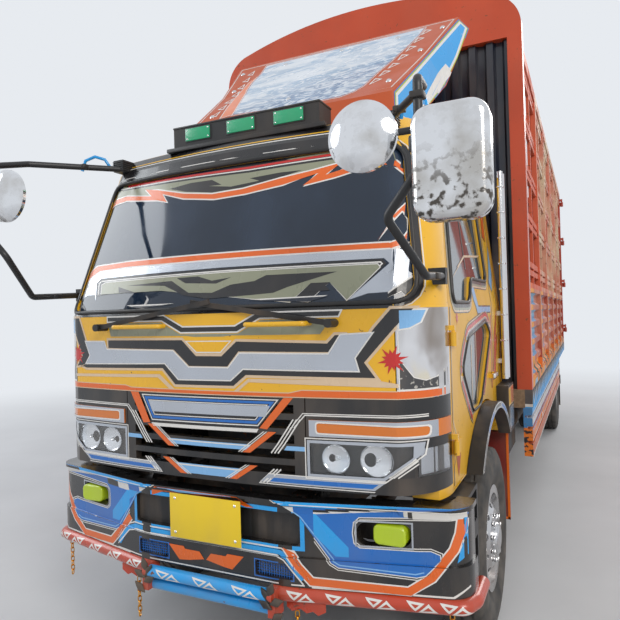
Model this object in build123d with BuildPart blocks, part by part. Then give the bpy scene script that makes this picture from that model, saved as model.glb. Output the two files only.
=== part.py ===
from build123d import *
import os
from math import cos, radians, sin

os.makedirs("parts", exist_ok=True)

# Overall sizes, mm. +X is the truck's left, +Y runs back, +Z is up from the road.
nose_reach = 450            # foremost mirror ahead of the cab's front panel
cab_depth = 1955            # front panel to the cab's back
cargo_gap = 200             # cab's back to the cargo body
body_length = 6245          # cargo body, front wall to tail frame
tail_stand = 100            # tail bumper behind the cargo body
cargo_start = cab_depth + cargo_gap
cargo_end = cargo_start + body_length
front_y = (nose_reach - cargo_end - tail_stand) / 2


def aft(distance):
    """Y of a place this far behind the front panel."""
    return front_y + distance


# Running gear
tyre_radius = 500
tyre_width = 250
hub_z = tyre_radius
wheelbase = 5900
front_axle = 1200           # behind the front panel
rear_axle = front_axle + wheelbase
front_track_half = 970
twin_inner_x = 745
twin_outer_x = 1035
kingpin_x = 800
tilt_back = 150             # the cab's tilt pivot, behind the front panel
tilt_z = 850
tilt_pin_radius = 20
fit_gap = 0.3               # curved seats between pieces of one body
pin_clearance = 0.05

# Chassis frame
rail_outer_x = 425
rail_flange = 75
rail_web = 8
rail_bottom_z = 730
rail_top_z = 970
rail_start = 150
rail_end = cargo_end - 60

# Cab
cab_half = 1045
cab_floor_z = 1000
grille_bottom_z = 1040
panel_bottom_z = 1430
panel_top_z = 1800
cab_top_z = 2620
roof_top_z = 2705
wall = 40
seam = 5
corner_depth = 325          # the front corner's depth, ahead of the doors
floor_start = 200
panel_half = 880
grille_half = 490
tunnel_half = 400
tunnel_top_z = 1380
arch_radius = 720
arch_wall = 40
flare_out = 75

# Doors of the cab
door_front = 340
door_rear = 1560
door_bottom_z = 1012
door_top_z = 2545
door_pin_out = 18           # hinge pins stand outside the cab's side
door_pin_radius = 8
door_hinges = (1190, 1660)

# Cargo body
cargo_half = 1225
sill_top_z = 1080
bearer_top_z = 1160
deck_top_z = 1210
side_top_z = 3660
crest_base_z = 3720
crest_top_z = 4200
post_width = 100
side_thickness = 50
bay_count = 6
tail_door_thickness = 45

# Cab plan at three heights: height, half width, nose set back, corner half width, corner set back, side start
roof_plan = (950, 300, 800, 370, 600)
cab_sections = [
    (cab_floor_z, cab_half, 0, 880, 70, 330),
    (panel_top_z, cab_half, 0, 880, 70, 330),
    (cab_top_z, *roof_plan),
]
roof_edge_radius = 30


def cab_plan(height, half, nose, corner_half, corner_back, side_start, inset):
    """Sketch of the cab's plan at one height, drawn in by the inset."""
    half = half - inset
    with BuildSketch(Plane.XY.offset(height)) as plan:
        with BuildLine():
            left = (half, aft(side_start))
            left_corner = (corner_half, aft(corner_back + inset))
            right_corner = (-corner_half, aft(corner_back + inset))
            right = (-half, aft(side_start))
            TangentArc(left, left_corner, tangent=(0, -1))
            ThreePointArc(left_corner, (0, aft(nose + inset)), right_corner)
            TangentArc(right, right_corner, tangent=(0, -1))
            Polyline(right, (-half, aft(cab_depth - inset)), (half, aft(cab_depth - inset)), left)
        make_face()
    return plan.sketch


def cab_block(inset):
    """Solid of the cab's outside, drawn in by the inset."""
    with BuildPart() as block:
        for section in cab_sections:
            add(cab_plan(*section, inset))
        loft(ruled=True)
    return block.part


def slab(x_from, x_to, y_from, y_to, z_from, z_to):
    """Plain block between two corners, kept apart, for cutting and keeping regions."""
    middle = ((x_from + x_to) / 2, (y_from + y_to) / 2, (z_from + z_to) / 2)
    return Pos(*middle) * Box(x_to - x_from, y_to - y_from, z_to - z_from, mode=Mode.PRIVATE)


def block(x_from, x_to, y_from, y_to, z_from, z_to, mode=Mode.ADD):
    """Block between two corners in the piece being made."""
    with Locations(((x_from + x_to) / 2, (y_from + y_to) / 2, (z_from + z_to) / 2)):
        Box(x_to - x_from, y_to - y_from, z_to - z_from, mode=mode)


def rod(place, along, radius, length, mode=Mode.ADD):
    """Cylinder centred on a place in the piece being made, along X, Y or Z."""
    turn = {"X": (0, 90, 0), "Y": (90, 0, 0), "Z": (0, 0, 0)}[along]
    with Locations(Location(place, turn)):
        Cylinder(radius, length, mode=mode)


def finish(part, label):
    """Name a finished piece and write it."""
    part.label = label
    export_step(part, f"parts/{label}.step")


# Cab walls, one closed ring of sheet and frame
cab_outside = cab_block(0)
cab_inside = cab_block(wall)
with BuildPart() as cab_walls:
    add(cab_outside)
    add(cab_inside, mode=Mode.SUBTRACT)

nose_zone = slab(-cab_half, cab_half, aft(-50), aft(corner_depth), cab_floor_z - 1, panel_bottom_z)
lid_zone = slab(-panel_half, panel_half, aft(-50), aft(corner_depth), panel_bottom_z, panel_top_z)
upper_nose_zone = slab(-cab_half, cab_half, aft(-50), aft(corner_depth), panel_bottom_z, panel_top_z)


side_plane = Plane.YZ.offset(-cab_half - 20)
side_reach = 2 * (cab_half + 20)


def door_outline(grow):
    """Side view of one cab door, grown by the seam where it is cut from the cab."""
    with BuildSketch(side_plane) as outline:
        with BuildLine():
            Polyline(
                (aft(door_front) - grow, door_bottom_z - grow),
                (aft(door_rear) + grow, door_bottom_z - grow),
                (aft(door_rear) + grow, door_top_z + grow),
                (aft(620) - grow, door_top_z + grow),
                (aft(door_front) - grow, 1830 + grow),
                close=True,
            )
        make_face()
    return outline.sketch


def arch_cylinder(radius, x_from, x_to):
    """Round block about the front axle, across one range of X."""
    middle = ((x_from + x_to) / 2, aft(front_axle), hub_z)
    return Pos(*middle) * Rot(0, 90, 0) * Cylinder(radius, x_to - x_from, mode=Mode.PRIVATE)


with BuildPart() as door_block:
    add(door_outline(0))
    extrude(amount=side_reach, dir=(1, 0, 0))
with BuildPart() as door_hole:
    add(door_outline(seam))
    extrude(amount=side_reach, dir=(1, 0, 0))
door_hole_part = door_hole.part - slab(-600, 600, aft(0), aft(cab_depth), 0, cab_top_z)

# Windscreen outline seen from the front
with BuildPart() as screen_block:
    with BuildSketch(Plane.XZ.offset(-aft(-60))) as screen_outline:
        with BuildLine():
            Polyline((-955, 1835), (955, 1835), (850, 2545), (-850, 2545), close=True)
        make_face()
        fillet(screen_outline.vertices(), 70)
    extrude(amount=-540)

# Roof: a shallow cap on the walls, hollow below
with BuildPart() as roof_cap:
    for section_z, inset in ((cab_top_z, 0), (roof_top_z, 70)):
        add(cab_plan(section_z, *roof_plan, inset))
    loft(ruled=True)
    fillet(roof_cap.faces().sort_by(Axis.Z)[-1].edges(), roof_edge_radius)
with BuildPart() as roof_hollow:
    for section_z, inset in ((cab_top_z, wall), (roof_top_z - 30, 90)):
        add(cab_plan(section_z, *roof_plan, inset))
    loft(ruled=True)

# Cab body: floor with its tunnel, walls, pillars, wheel houses and roof
with BuildPart() as cab_body:
    add(cab_walls.part)
    add(roof_cap.part)
    add(roof_hollow.part, mode=Mode.SUBTRACT)
    for zone in (nose_zone, upper_nose_zone, screen_block.part, door_hole_part):
        add(zone, mode=Mode.SUBTRACT)
    floor = cab_outside & slab(-cab_half, cab_half, aft(floor_start), aft(cab_depth), cab_floor_z, grille_bottom_z)
    for side in (-1, 1):
        x_low, x_high = sorted((side * (cab_half - wall - seam), side * (cab_half + seam)))
        floor = floor - slab(x_low, x_high, aft(door_front - seam), aft(door_rear + seam), cab_floor_z, grille_bottom_z)
    add(floor)
    tunnel_outer = slab(
        -tunnel_half - wall, tunnel_half + wall, aft(floor_start), aft(cab_depth - 5), cab_floor_z, tunnel_top_z + wall
    )
    add(tunnel_outer & cab_outside)
    for side in (-1, 1):
        x_low, x_high = sorted((side * 560, side * (cab_half - 2)))
        house = arch_cylinder(arch_radius + arch_wall, x_low, x_high)
        add(house & cab_outside & slab(-cab_half, cab_half, aft(0), aft(cab_depth), cab_floor_z, cab_top_z))
    block(-tunnel_half, tunnel_half, aft(-50), aft(cab_depth + 50), 0, tunnel_top_z, mode=Mode.SUBTRACT)
    for side in (-1, 1):
        x_low, x_high = sorted((side * 600, side * (cab_half + 50)))
        add(arch_cylinder(arch_radius, x_low, x_high), mode=Mode.SUBTRACT)
    for side in (-1, 1):
        with BuildSketch(Plane.YZ.offset(side * 460 - 20)):
            with BuildLine():
                Polyline(
                    (aft(tilt_back - 30), tilt_z - 30), (aft(tilt_back + 40), tilt_z - 20),
                    (aft(floor_start + 140), cab_floor_z), (aft(floor_start + 5), cab_floor_z),
                    (aft(tilt_back - 35), tilt_z + 30), close=True,
                )
            make_face()
        extrude(amount=40)
        rod((side * 460, aft(tilt_back), tilt_z), "X", tilt_pin_radius + pin_clearance, 60, mode=Mode.SUBTRACT)
        for z_hinge in door_hinges:
            rod((side * (cab_half + door_pin_out), aft(door_front - seam), z_hinge + 15), "Z", door_pin_radius, 90)
            x_low, x_high = sorted((side * (cab_half - 10), side * (cab_half + 5)))
            block(x_low, x_high, aft(corner_depth), aft(door_front - seam), z_hinge + 38, z_hinge + 60)
            x_low, x_high = sorted((side * cab_half, side * (cab_half + door_pin_out + 8)))
            block(x_low, x_high, aft(corner_depth), aft(door_front + 3), z_hinge + 38, z_hinge + 60)
finish(cab_body.part, "cab_body")

# Front panel with its two grab handles, and corner panels
handle_z = 1747
handle_out = -38
with BuildPart() as front_panel:
    add(cab_walls.part & lid_zone)
    for side in (-1, 1):
        handle_from, handle_to = side * 237, side * 524
        with BuildLine() as handle_path:
            FilletPolyline(
                (handle_from, aft(28), handle_z), (handle_from, aft(handle_out), handle_z),
                (handle_to, aft(handle_out), handle_z), (handle_to, aft(48), handle_z), radius=20,
            )
        with BuildSketch(Plane(origin=handle_path.line @ 0, z_dir=handle_path.line % 0)):
            Circle(11)
        sweep(path=handle_path.line)
finish(front_panel.part, "front_panel")
with BuildPart() as corner_panels:
    for side in (-1, 1):
        x_low, x_high = sorted((side * (panel_half + seam), side * cab_half))
        add(cab_walls.part & slab(x_low, x_high, aft(-50), aft(corner_depth), panel_bottom_z, panel_top_z))
finish(corner_panels.part, "corner_panels")

# Grille between the lamps, with slots
with BuildPart() as grille:
    add(cab_walls.part & slab(-grille_half, grille_half, aft(-50), aft(corner_depth), grille_bottom_z, panel_bottom_z))
    for row in range(5):
        z_slot = grille_bottom_z + 60 + row * 65
        block(-440, 440, aft(-60), aft(corner_depth), z_slot, z_slot + 38, mode=Mode.SUBTRACT)
finish(grille.part, "grille")

# Lamp zones on the headlamp panels: from x, to x, low, high, recess depth, glass thickness, glass stand-out
lamp_zones = {
    "head": (510, 940, 1110, 1240, 28, 6, 0),
    "corner": (950, cab_half + 20, 1110, 1225, 20, 6, 0),
    "indicator": (510, cab_half + 20, 1268, 1338, 10, 14, 6),
}
lamp_back = 300             # rear end of the lamps round the corner


def lamp_zone(zone, side):
    """Region of one lamp, seen from the front."""
    x_from, x_to, low, high = lamp_zones[zone][:4]
    x_low, x_high = sorted((side * x_from, side * x_to))
    return slab(x_low, x_high, aft(-50), aft(lamp_back), low, high)


# Headlamp panels with the recesses of their lamps
with BuildPart() as headlamps:
    for side in (-1, 1):
        x_low, x_high = sorted((side * (grille_half + seam), side * cab_half))
        add(cab_walls.part & slab(x_low, x_high, aft(-50), aft(corner_depth), grille_bottom_z, panel_bottom_z))
    for zone, (x_from, x_to, low, high, depth, thickness, proud) in lamp_zones.items():
        recess = cab_block(-20) - cab_block(depth)
        for side in (-1, 1):
            add(recess & lamp_zone(zone, side), mode=Mode.SUBTRACT)
finish(headlamps.part, "headlamps")

# Clear lamp glasses and amber indicators, shaped to the panel
for name, zones in (("lamp_glasses", ("head", "corner")), ("indicators", ("indicator",))):
    with BuildPart() as lenses:
        for zone in zones:
            thickness, proud = lamp_zones[zone][5:]
            layer = cab_block(-proud) - cab_block(thickness - proud)
            for side in (-1, 1):
                add(layer & lamp_zone(zone, side))
    finish(lenses.part, name)

# Windscreen glass
screen_glass = (cab_block(12) - cab_block(24)) & screen_block.part
with BuildPart() as windscreen:
    add(screen_glass & slab(-cab_half, cab_half, aft(0), aft(460), panel_top_z, cab_top_z))
finish(windscreen.part, "windscreen")


# Cab doors with their windows
def window_outline(grow):
    with BuildSketch(side_plane) as outline:
        with BuildLine():
            Polyline(
                (aft(440) - grow, 1830 - grow),
                (aft(840), 1830 - grow),
                (aft(960), 1960 - grow),
                (aft(1480) + grow, 1960 - grow),
                (aft(1480) + grow, 2470 + grow),
                (aft(650) - grow, 2470 + grow),
                close=True,
            )
        make_face()
        fillet(outline.vertices(), 30)
    return outline.sketch


def teardrop_outline(grow):
    with BuildSketch(side_plane) as outline:
        with BuildLine():
            Polyline(
                (aft(600) - grow, 1500),
                (aft(760), 1640 + grow),
                (aft(1330), 1710 + grow),
                (aft(1470) + grow, 1640),
                (aft(1080), 1270 - grow),
                (aft(850), 1270 - grow),
                close=True,
            )
        make_face()
        fillet(outline.vertices(), 35)
    return outline.sketch


with BuildPart() as door_lights:
    for outline in (window_outline(0), teardrop_outline(0)):
        add(outline)
    extrude(amount=side_reach, dir=(1, 0, 0))
for name, side in (("left", 1), ("right", -1)):
    x_low, x_high = sorted((side * 700, side * (cab_half + 20)))
    side_zone = slab(x_low, x_high, aft(door_front - 20), aft(door_rear + 20), cab_floor_z, cab_top_z)
    with BuildPart() as cab_door:
        add(cab_walls.part & door_block.part & side_zone)
        add(door_lights.part, mode=Mode.SUBTRACT)
        add(arch_cylinder(arch_radius + arch_wall + 10, x_low, x_high), mode=Mode.SUBTRACT)
        x_low, x_high = sorted((side * (cab_half + 22), side * (cab_half + 34)))
        block(x_low, x_high, aft(1405), aft(1535), 1372, 1398)
        for place in (1405, 1517):
            x_low, x_high = sorted((side * (cab_half - 1), side * (cab_half + 34)))
            block(x_low, x_high, aft(place), aft(place + 18), 1372, 1398)
        for z_hinge in door_hinges:
            rod((side * (cab_half + door_pin_out), aft(door_front - seam), z_hinge), "Z", 13, 60)
            x_low, x_high = sorted((side * (cab_half - 5), side * (cab_half + door_pin_out + 4)))
            block(x_low, x_high, aft(door_front), aft(door_front + 80), z_hinge - 30, z_hinge + 30)
            rod(
                (side * (cab_half + door_pin_out), aft(door_front - seam), z_hinge), "Z",
                door_pin_radius + pin_clearance, 70, mode=Mode.SUBTRACT,
            )
    finish(cab_door.part, f"cab_door_{name}")
    glass_layer = (cab_block(14) - cab_block(20)) & side_zone
    with BuildPart() as door_glass:
        add(glass_layer & door_lights.part)
    finish(door_glass.part, f"door_glass_{name}")

# Roof light box
with BuildPart() as roof_light_box:
    block(-440, 440, aft(376), aft(520), roof_top_z, roof_top_z + 120)
finish(roof_light_box.part, "roof_light_box")

# Wind deflector, a channel of sheet that leans back: set back, height, half width, flap drop, flap flare
deflector_stations = [
    (770, 2790, 700, 150, 60),
    (830, 2980, 670, 190, 100),
    (1330, 3360, 745, 215, 85),
    (1780, 3760, 860, 90, 60),
]
deflector_sheet = 12


def deflector_section(index):
    back, height, half, drop, flare = deflector_stations[index]
    before = deflector_stations[max(index - 1, 0)]
    after = deflector_stations[min(index + 1, len(deflector_stations) - 1)]
    along = Vector(0, after[0] - before[0], after[1] - before[1])
    plane = Plane(origin=(0, aft(back), height), x_dir=(1, 0, 0), z_dir=along)
    with BuildSketch(plane) as section:
        with BuildLine():
            t = deflector_sheet
            Polyline(
                (-half - flare, drop), (-half, 0), (half, 0), (half + flare, drop),
                (half + flare - t, drop), (half - t, t), (-half + t, t), (-half - flare + t, drop),
                close=True,
            )
        make_face()
    return section.sketch


with BuildPart() as wind_deflector:
    for index in range(len(deflector_stations)):
        add(deflector_section(index))
    loft(ruled=True)
    for side in (-1, 1):
        x_low, x_high = sorted((side * 580, side * 620))
        block(x_low, x_high, aft(800), aft(840), roof_top_z, 2860)
        with BuildSketch(Plane.YZ.offset(side * 500 - 20)):
            with BuildLine():
                Polyline(
                    (aft(1600), roof_top_z), (aft(1640), roof_top_z),
                    (aft(1640), 3625), (aft(1600), 3590), close=True,
                )
            make_face()
        extrude(amount=40)
finish(wind_deflector.part, "wind_deflector")

# Mirrors on tube arms
mirror_post = [(790, 330, 2640), (1060, -60, 2620), (1100, -300, 2560), (1100, -300, 2260),
               (970, -270, 2110), (1050, -60, 1915), (1040, 250, 1930)]
tube_radius = 16

# Square mirror head with a domed back, and round mirror with a dished back
with BuildPart() as square_head:
    with BuildSketch(Plane.XZ.offset(-aft(-nose_reach))):
        with Locations((1225, 2240)):
            RectangleRounded(240, 360, 60)
    extrude(amount=-80)
    fillet(square_head.faces().sort_by(Axis.Y)[0].edges(), 35)
    fillet(square_head.faces().sort_by(Axis.Y)[-1].edges(), 6)
square_mirror = square_head.part
round_place = (905, aft(-360), 2390)
with BuildPart() as round_head:
    with BuildSketch(Plane(origin=round_place, x_dir=(1, 0, 0), z_dir=(0, 0, 1))):
        with BuildLine():
            ThreePointArc((0, 0), (80, 14), (125, 44))
            Polyline((125, 44), (125, 60), (0, 60), (0, 0))
        make_face()
    revolve(axis=Axis(round_place, (0, 1, 0)))
round_mirror = round_head.part
with BuildPart() as mirrors:
    for side in (-1, 1):
        points = [(side * x, aft(y), z) for x, y, z in mirror_post]
        with BuildLine() as arm_path:
            FilletPolyline(*points, radius=40)
        with BuildSketch(Plane(origin=arm_path.line @ 0, z_dir=arm_path.line % 0)):
            Circle(tube_radius)
        sweep(path=arm_path.line)
        rod((side * 1000, aft(-295), 2390), "X", 12, 210)
        x_low, x_high = sorted((side * 1090, side * 1150))
        block(x_low, x_high, aft(-385), aft(-290), 2300, 2340)
        x_low, x_high = sorted((side * 760, side * 830))
        block(x_low, x_high, aft(320), aft(410), 2625, 2690)
        x_low, x_high = sorted((side * 985, side * 1058))
        block(x_low, x_high, aft(235), aft(275), 1895, 1965)
    for head in (square_mirror, round_mirror):
        add(head)
        add(mirror(head, Plane.YZ, mode=Mode.PRIVATE))
    add(cab_body.part, mode=Mode.SUBTRACT)
finish(mirrors.part, "mirrors")

# Chassis frame: two channels and their cross members
with BuildPart() as chassis_frame:
    for side in (-1, 1):
        x_low, x_high = sorted((side * (rail_outer_x - rail_flange), side * rail_outer_x))
        block(x_low, x_high, aft(rail_start), aft(rail_end), rail_bottom_z, rail_top_z)
        x_low, x_high = sorted((side * (rail_outer_x - rail_flange), side * (rail_outer_x - rail_web)))
        inner = slab(x_low, x_high, aft(rail_start), aft(rail_end), rail_bottom_z + rail_web, rail_top_z - rail_web)
        add(inner, mode=Mode.SUBTRACT)
        rod((side * (rail_outer_x + 25), aft(tilt_back), tilt_z), "X", tilt_pin_radius, 90)
        x_low, x_high = sorted((side * (rail_outer_x - rail_flange), side * rail_outer_x))
        block(x_low, x_high, aft(tilt_back - 40), aft(tilt_back + 60), tilt_z - 50, tilt_z + 50)
        block(x_low, x_high, aft(1830), aft(1930), rail_top_z, cab_floor_z)
    cross_reach = rail_outer_x - rail_web
    for place in (300, 1950, 3400, 4900, 6300, 7900):
        block(-cross_reach, cross_reach, aft(place), aft(place + 70), 880, 960)
finish(chassis_frame.part, "chassis_frame")

# Engine with gearbox, one mass
with BuildPart() as engine_block:
    block(-290, 290, aft(620), aft(1560), 780, 1240)
    block(-170, 170, aft(640), aft(1500), 1240, 1320)
    with BuildSketch(Plane.XZ.offset(-aft(650))):
        Polygon((-230, 780), (230, 780), (150, 600), (-150, 600), align=None)
    extrude(amount=-820)
    with BuildSketch(Plane.XZ.offset(-aft(1560))):
        with Locations((0, 800)):
            Circle(210)
    extrude(amount=-60)
    with BuildSketch(Plane.XZ.offset(-aft(1620))):
        with Locations((0, 800)):
            Circle(205)
    with BuildSketch(Plane.XZ.offset(-aft(1940))):
        with Locations((0, 800)):
            Circle(110)
    loft(ruled=True)
    for place in (700, 1450):
        block(-rail_outer_x + rail_web, rail_outer_x - rail_web, aft(place), aft(place + 60), 780, 840)
finish(engine_block.part, "engine_block")

# Radiator with its tanks, ahead of the engine
with BuildPart() as radiator:
    block(-rail_outer_x + rail_web, rail_outer_x - rail_web, aft(455), aft(545), 780, 840)
    block(-330, 330, aft(470), aft(530), 780, 1290)
    for low, high in ((780, 850), (1240, 1310)):
        block(-340, 340, aft(455), aft(545), low, high)
finish(radiator.part, "radiator")

# Front axle beam with the bores for the kingpins
kingpin_radius = 22
arm_back = 190              # steering arm's eye behind the axle
with BuildPart() as front_axle_beam:
    block(-kingpin_x, kingpin_x, aft(front_axle - 45), aft(front_axle + 45), 450, 550)
    for side in (-1, 1):
        rod((side * kingpin_x, aft(front_axle), hub_z), "Z", 55, 110)
        rod((side * kingpin_x, aft(front_axle), hub_z), "Z", kingpin_radius + pin_clearance, 200, mode=Mode.SUBTRACT)
finish(front_axle_beam.part, "front_axle_beam")

# Rear axle
with BuildPart() as rear_axle_housing:
    rod((0, aft(rear_axle), hub_z), "X", 75, 1100)
    rod((0, aft(rear_axle), hub_z), "X", 55, 2180)
    with Locations((0, aft(rear_axle), hub_z)):
        Sphere(190)
    rod((0, aft(rear_axle - 130), 540), "Y", 65, 200)
    for side in (-1, 1):
        x_low, x_high = sorted((side * 350, side * 430))
        block(x_low, x_high, aft(rear_axle - 60), aft(rear_axle + 60), hub_z, 585)
finish(rear_axle_housing.part, "rear_axle")

# Leaf springs: axle place, half length, rise of the ends, leaves, top of the main leaf at the axle, step back
leaf_thickness = 14
spring_table = [
    (front_axle, 650, 55, 5, 620, 115),
    (rear_axle, 700, 20, 7, 683, 85),
]
spring_inner_x = 350
spring_outer_x = 430
eye_radius = 22
with BuildPart() as leaf_springs:
    for place, reach, rise, leaves, top_z, step in spring_table:
        bend = (reach ** 2 + rise ** 2) / (2 * rise)
        middle_y, middle_z = aft(place), top_z + bend
        for side in (-1, 1):
            with BuildSketch(Plane.YZ.offset(min(side * spring_inner_x, side * spring_outer_x))):
                for leaf in range(leaves):
                    half = reach - leaf * step
                    upper = bend + leaf * leaf_thickness
                    lower = upper + leaf_thickness
                    edges = [
                        (sign * half, middle_z - (radius ** 2 - half ** 2) ** 0.5)
                        for radius, sign in ((upper, -1), (upper, 1), (lower, 1), (lower, -1))
                    ]
                    with BuildLine():
                        corner = [(middle_y + offset, height) for offset, height in edges]
                        ThreePointArc(corner[0], (middle_y, middle_z - upper), corner[1])
                        Line(corner[1], corner[2])
                        ThreePointArc(corner[2], (middle_y, middle_z - lower), corner[3])
                        Line(corner[3], corner[0])
                    make_face()
                for end in (-1, 1):
                    with Locations((middle_y + end * reach, top_z + rise - leaf_thickness)):
                        Circle(eye_radius)
            extrude(amount=spring_outer_x - spring_inner_x)
            x_low, x_high = sorted((side * spring_inner_x, side * rail_outer_x))
            for end in (-1, 1):
                with BuildSketch(Plane.YZ.offset(x_low)):
                    with BuildLine():
                        eye_y, eye_z = middle_y + end * reach, top_z + rise - leaf_thickness
                        Polyline(
                            (eye_y - 20, eye_z), (eye_y + 20, eye_z), (eye_y + 45, rail_bottom_z),
                            (eye_y - 45, rail_bottom_z), close=True,
                        )
                    make_face()
                extrude(amount=x_high - x_low)
            pack_low = top_z - leaves * leaf_thickness
            x_low, x_high = sorted((side * (spring_inner_x - 10), side * (spring_outer_x + 10)))
            for offset in (-48, 34):
                block(x_low, x_high, aft(place + offset), aft(place + offset + 14), pack_low, top_z + 12)
finish(leaf_springs.part, "leaf_springs")

# Steering knuckles
for name, side in (("left", 1), ("right", -1)):
    with BuildPart() as knuckle:
        rod((side * kingpin_x, aft(front_axle), hub_z), "Z", kingpin_radius, 200)
        for height in (-77, 77):
            rod((side * kingpin_x, aft(front_axle), hub_z + height), "Z", 50, 40)
        x_low, x_high = sorted((side * (kingpin_x + 62), side * (kingpin_x + 80)))
        block(x_low, x_high, aft(front_axle - 45), aft(front_axle + 45), hub_z - 97, hub_z + 97)
        for z_low in (-97, 57):
            x_low, x_high = sorted((side * kingpin_x, side * (kingpin_x + 80)))
            block(x_low, x_high, aft(front_axle - 40), aft(front_axle + 40), hub_z + z_low, hub_z + z_low + 40)
        x_low, x_high = sorted((side * (kingpin_x + 80), side * (front_track_half + 60)))
        rod(((x_low + x_high) / 2, aft(front_axle), hub_z), "X", 35, x_high - x_low)
        with BuildSketch(Plane.XY.offset(403)):
            with BuildLine():
                Polyline(
                    (side * (kingpin_x + 30), aft(front_axle + 20)), (side * (kingpin_x - 30), aft(front_axle + 20)),
                    (side * (kingpin_x - 25), aft(front_axle + arm_back)),
                    (side * (kingpin_x + 25), aft(front_axle + arm_back)), close=True,
                )
            make_face()
            with Locations((side * kingpin_x, aft(front_axle + arm_back))):
                Circle(30)
        extrude(amount=40)
    finish(knuckle.part, f"knuckle_{name}")


# Wheels: profiles turned about the axle line, x along the axle outwards, r from its line
def turned(profile, x_centre, y_centre, side, fillet_radius=0):
    plane = Plane(origin=(x_centre, y_centre, hub_z), x_dir=(side, 0, 0), z_dir=(0, -side, 0))
    with BuildPart() as ring:
        with BuildSketch(plane) as section:
            with BuildLine():
                Polyline(*profile, close=True)
            make_face()
            if fillet_radius:
                fillet(section.vertices(), fillet_radius)
        revolve(axis=Axis((x_centre, y_centre, hub_z), (1, 0, 0)))
    return ring.part


tyre_profile = [(-91, 256), (-91, 290), (-116, 330), (-125, 390), (-116, 455), (-98, 490), (0, 500),
                (98, 490), (116, 455), (125, 390), (116, 330), (91, 290), (91, 256)]
front_rim_profile = [(-104, 285), (-92, 285), (-92, 255.7), (92, 255.7), (92, 285), (104, 285), (104, 240),
                     (72, 234), (78, 200), (110, 150), (116, 90), (135, 85), (135, 0), (75, 0),
                     (75, 35.05), (-60, 35.05), (-60, 190), (20, 190), (60, 226), (-20, 236), (-104, 240)]
hand_holes = 10
for name, side in (("left", 1), ("right", -1)):
    x_wheel = side * front_track_half
    with BuildPart() as front_wheel:
        add(turned(front_rim_profile, x_wheel, aft(front_axle), side))
        with Locations(Location((x_wheel + side * 60, aft(front_axle), hub_z), (0, side * 90, 0))):
            with PolarLocations(183, hand_holes):
                Cylinder(21, 80, align=(Align.CENTER, Align.CENTER, Align.MIN), mode=Mode.SUBTRACT)
    finish(front_wheel.part, f"front_wheel_{name}")
    finish(turned(tyre_profile, x_wheel, aft(front_axle), side), f"front_tyre_{name}")
# The twin rims meet face to face at their bolted discs
twin_middle = (twin_outer_x - twin_inner_x) / 2
rear_rim_profile = [(-104, 285), (-92, 285), (-92, 255.7), (92, 255.7), (92, 285), (104, 285), (104, 240),
                    (60, 235), (100, 190), (twin_middle, 165), (twin_middle, 121), (twin_middle - 12, 121),
                    (twin_middle - 12, 160), (88, 182), (40, 232), (-104, 240)]
for name, side in (("left", 1), ("right", -1)):
    with BuildPart() as twin_wheel:
        add(turned(rear_rim_profile, side * twin_inner_x, aft(rear_axle), side))
        add(turned(rear_rim_profile, side * twin_outer_x, aft(rear_axle), -side))
        x_low, x_high = sorted((side * (twin_inner_x - 80), side * (twin_outer_x + 80)))
        rod(((x_low + x_high) / 2, aft(rear_axle), hub_z), "X", 121, x_high - x_low)
        rod((side * (twin_inner_x - 10), aft(rear_axle), hub_z), "X", 180, 140)
        rod((side * 880, aft(rear_axle), hub_z), "X", 55 + pin_clearance, 440, mode=Mode.SUBTRACT)
    finish(twin_wheel.part, f"rear_wheels_{name}")
    with BuildPart() as twin_tyre:
        add(turned(tyre_profile, side * twin_inner_x, aft(rear_axle), side))
        add(turned(tyre_profile, side * twin_outer_x, aft(rear_axle), side))
    finish(twin_tyre.part, f"rear_tyres_{name}")

# Arch flares with their rear quarter blocks
with BuildPart() as arch_flares:
    for side in (-1, 1):
        x_low, x_high = sorted((side * cab_half, side * (cab_half + flare_out)))
        ring = arch_cylinder(arch_radius + arch_wall, x_low, x_high)
        above = slab(x_low, x_high, aft(0), aft(cab_depth), cab_floor_z, cab_top_z)
        add(ring & above)
        block(x_low, x_high, aft(1690), aft(cab_depth), cab_floor_z - 20, 1290)
        add(arch_cylinder(arch_radius, x_low - 1, x_high + 1), mode=Mode.SUBTRACT)
finish(arch_flares.part, "arch_flares")

# Dashboard with the steering column
wheel_centre = (-470, aft(600), 1850)
wheel_lean = 62             # of the column above the level
column_axis = Vector(0, cos(radians(wheel_lean)), sin(radians(wheel_lean)))
wheel_plane = Plane(origin=wheel_centre, x_dir=(1, 0, 0), z_dir=column_axis)
cab_lining = cab_block(wall + fit_gap)
with BuildPart() as dashboard:
    add(slab(-cab_half, cab_half, aft(0), aft(330), 1480, 1790) & cab_lining)
    with BuildSketch(wheel_plane.offset(-20.3)):
        Circle(32)
    extrude(amount=-330)
    block(-600, -340, aft(300), aft(480), 1500, 1640)
finish(dashboard.part, "dashboard")

# Steering wheel
with BuildPart() as steering_wheel:
    with Locations(wheel_plane.location):
        Torus(220, 16)
    with BuildSketch(wheel_plane.offset(-20)):
        Circle(55)
    extrude(amount=30)
    with BuildSketch(wheel_plane.offset(-8)):
        for angle in (90, 210, 330):
            with Locations(Location((0, 0, 0), (0, 0, angle))):
                with Locations((110, 0)):
                    Rectangle(212, 34)
    extrude(amount=14)
finish(steering_wheel.part, "steering_wheel")

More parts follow.
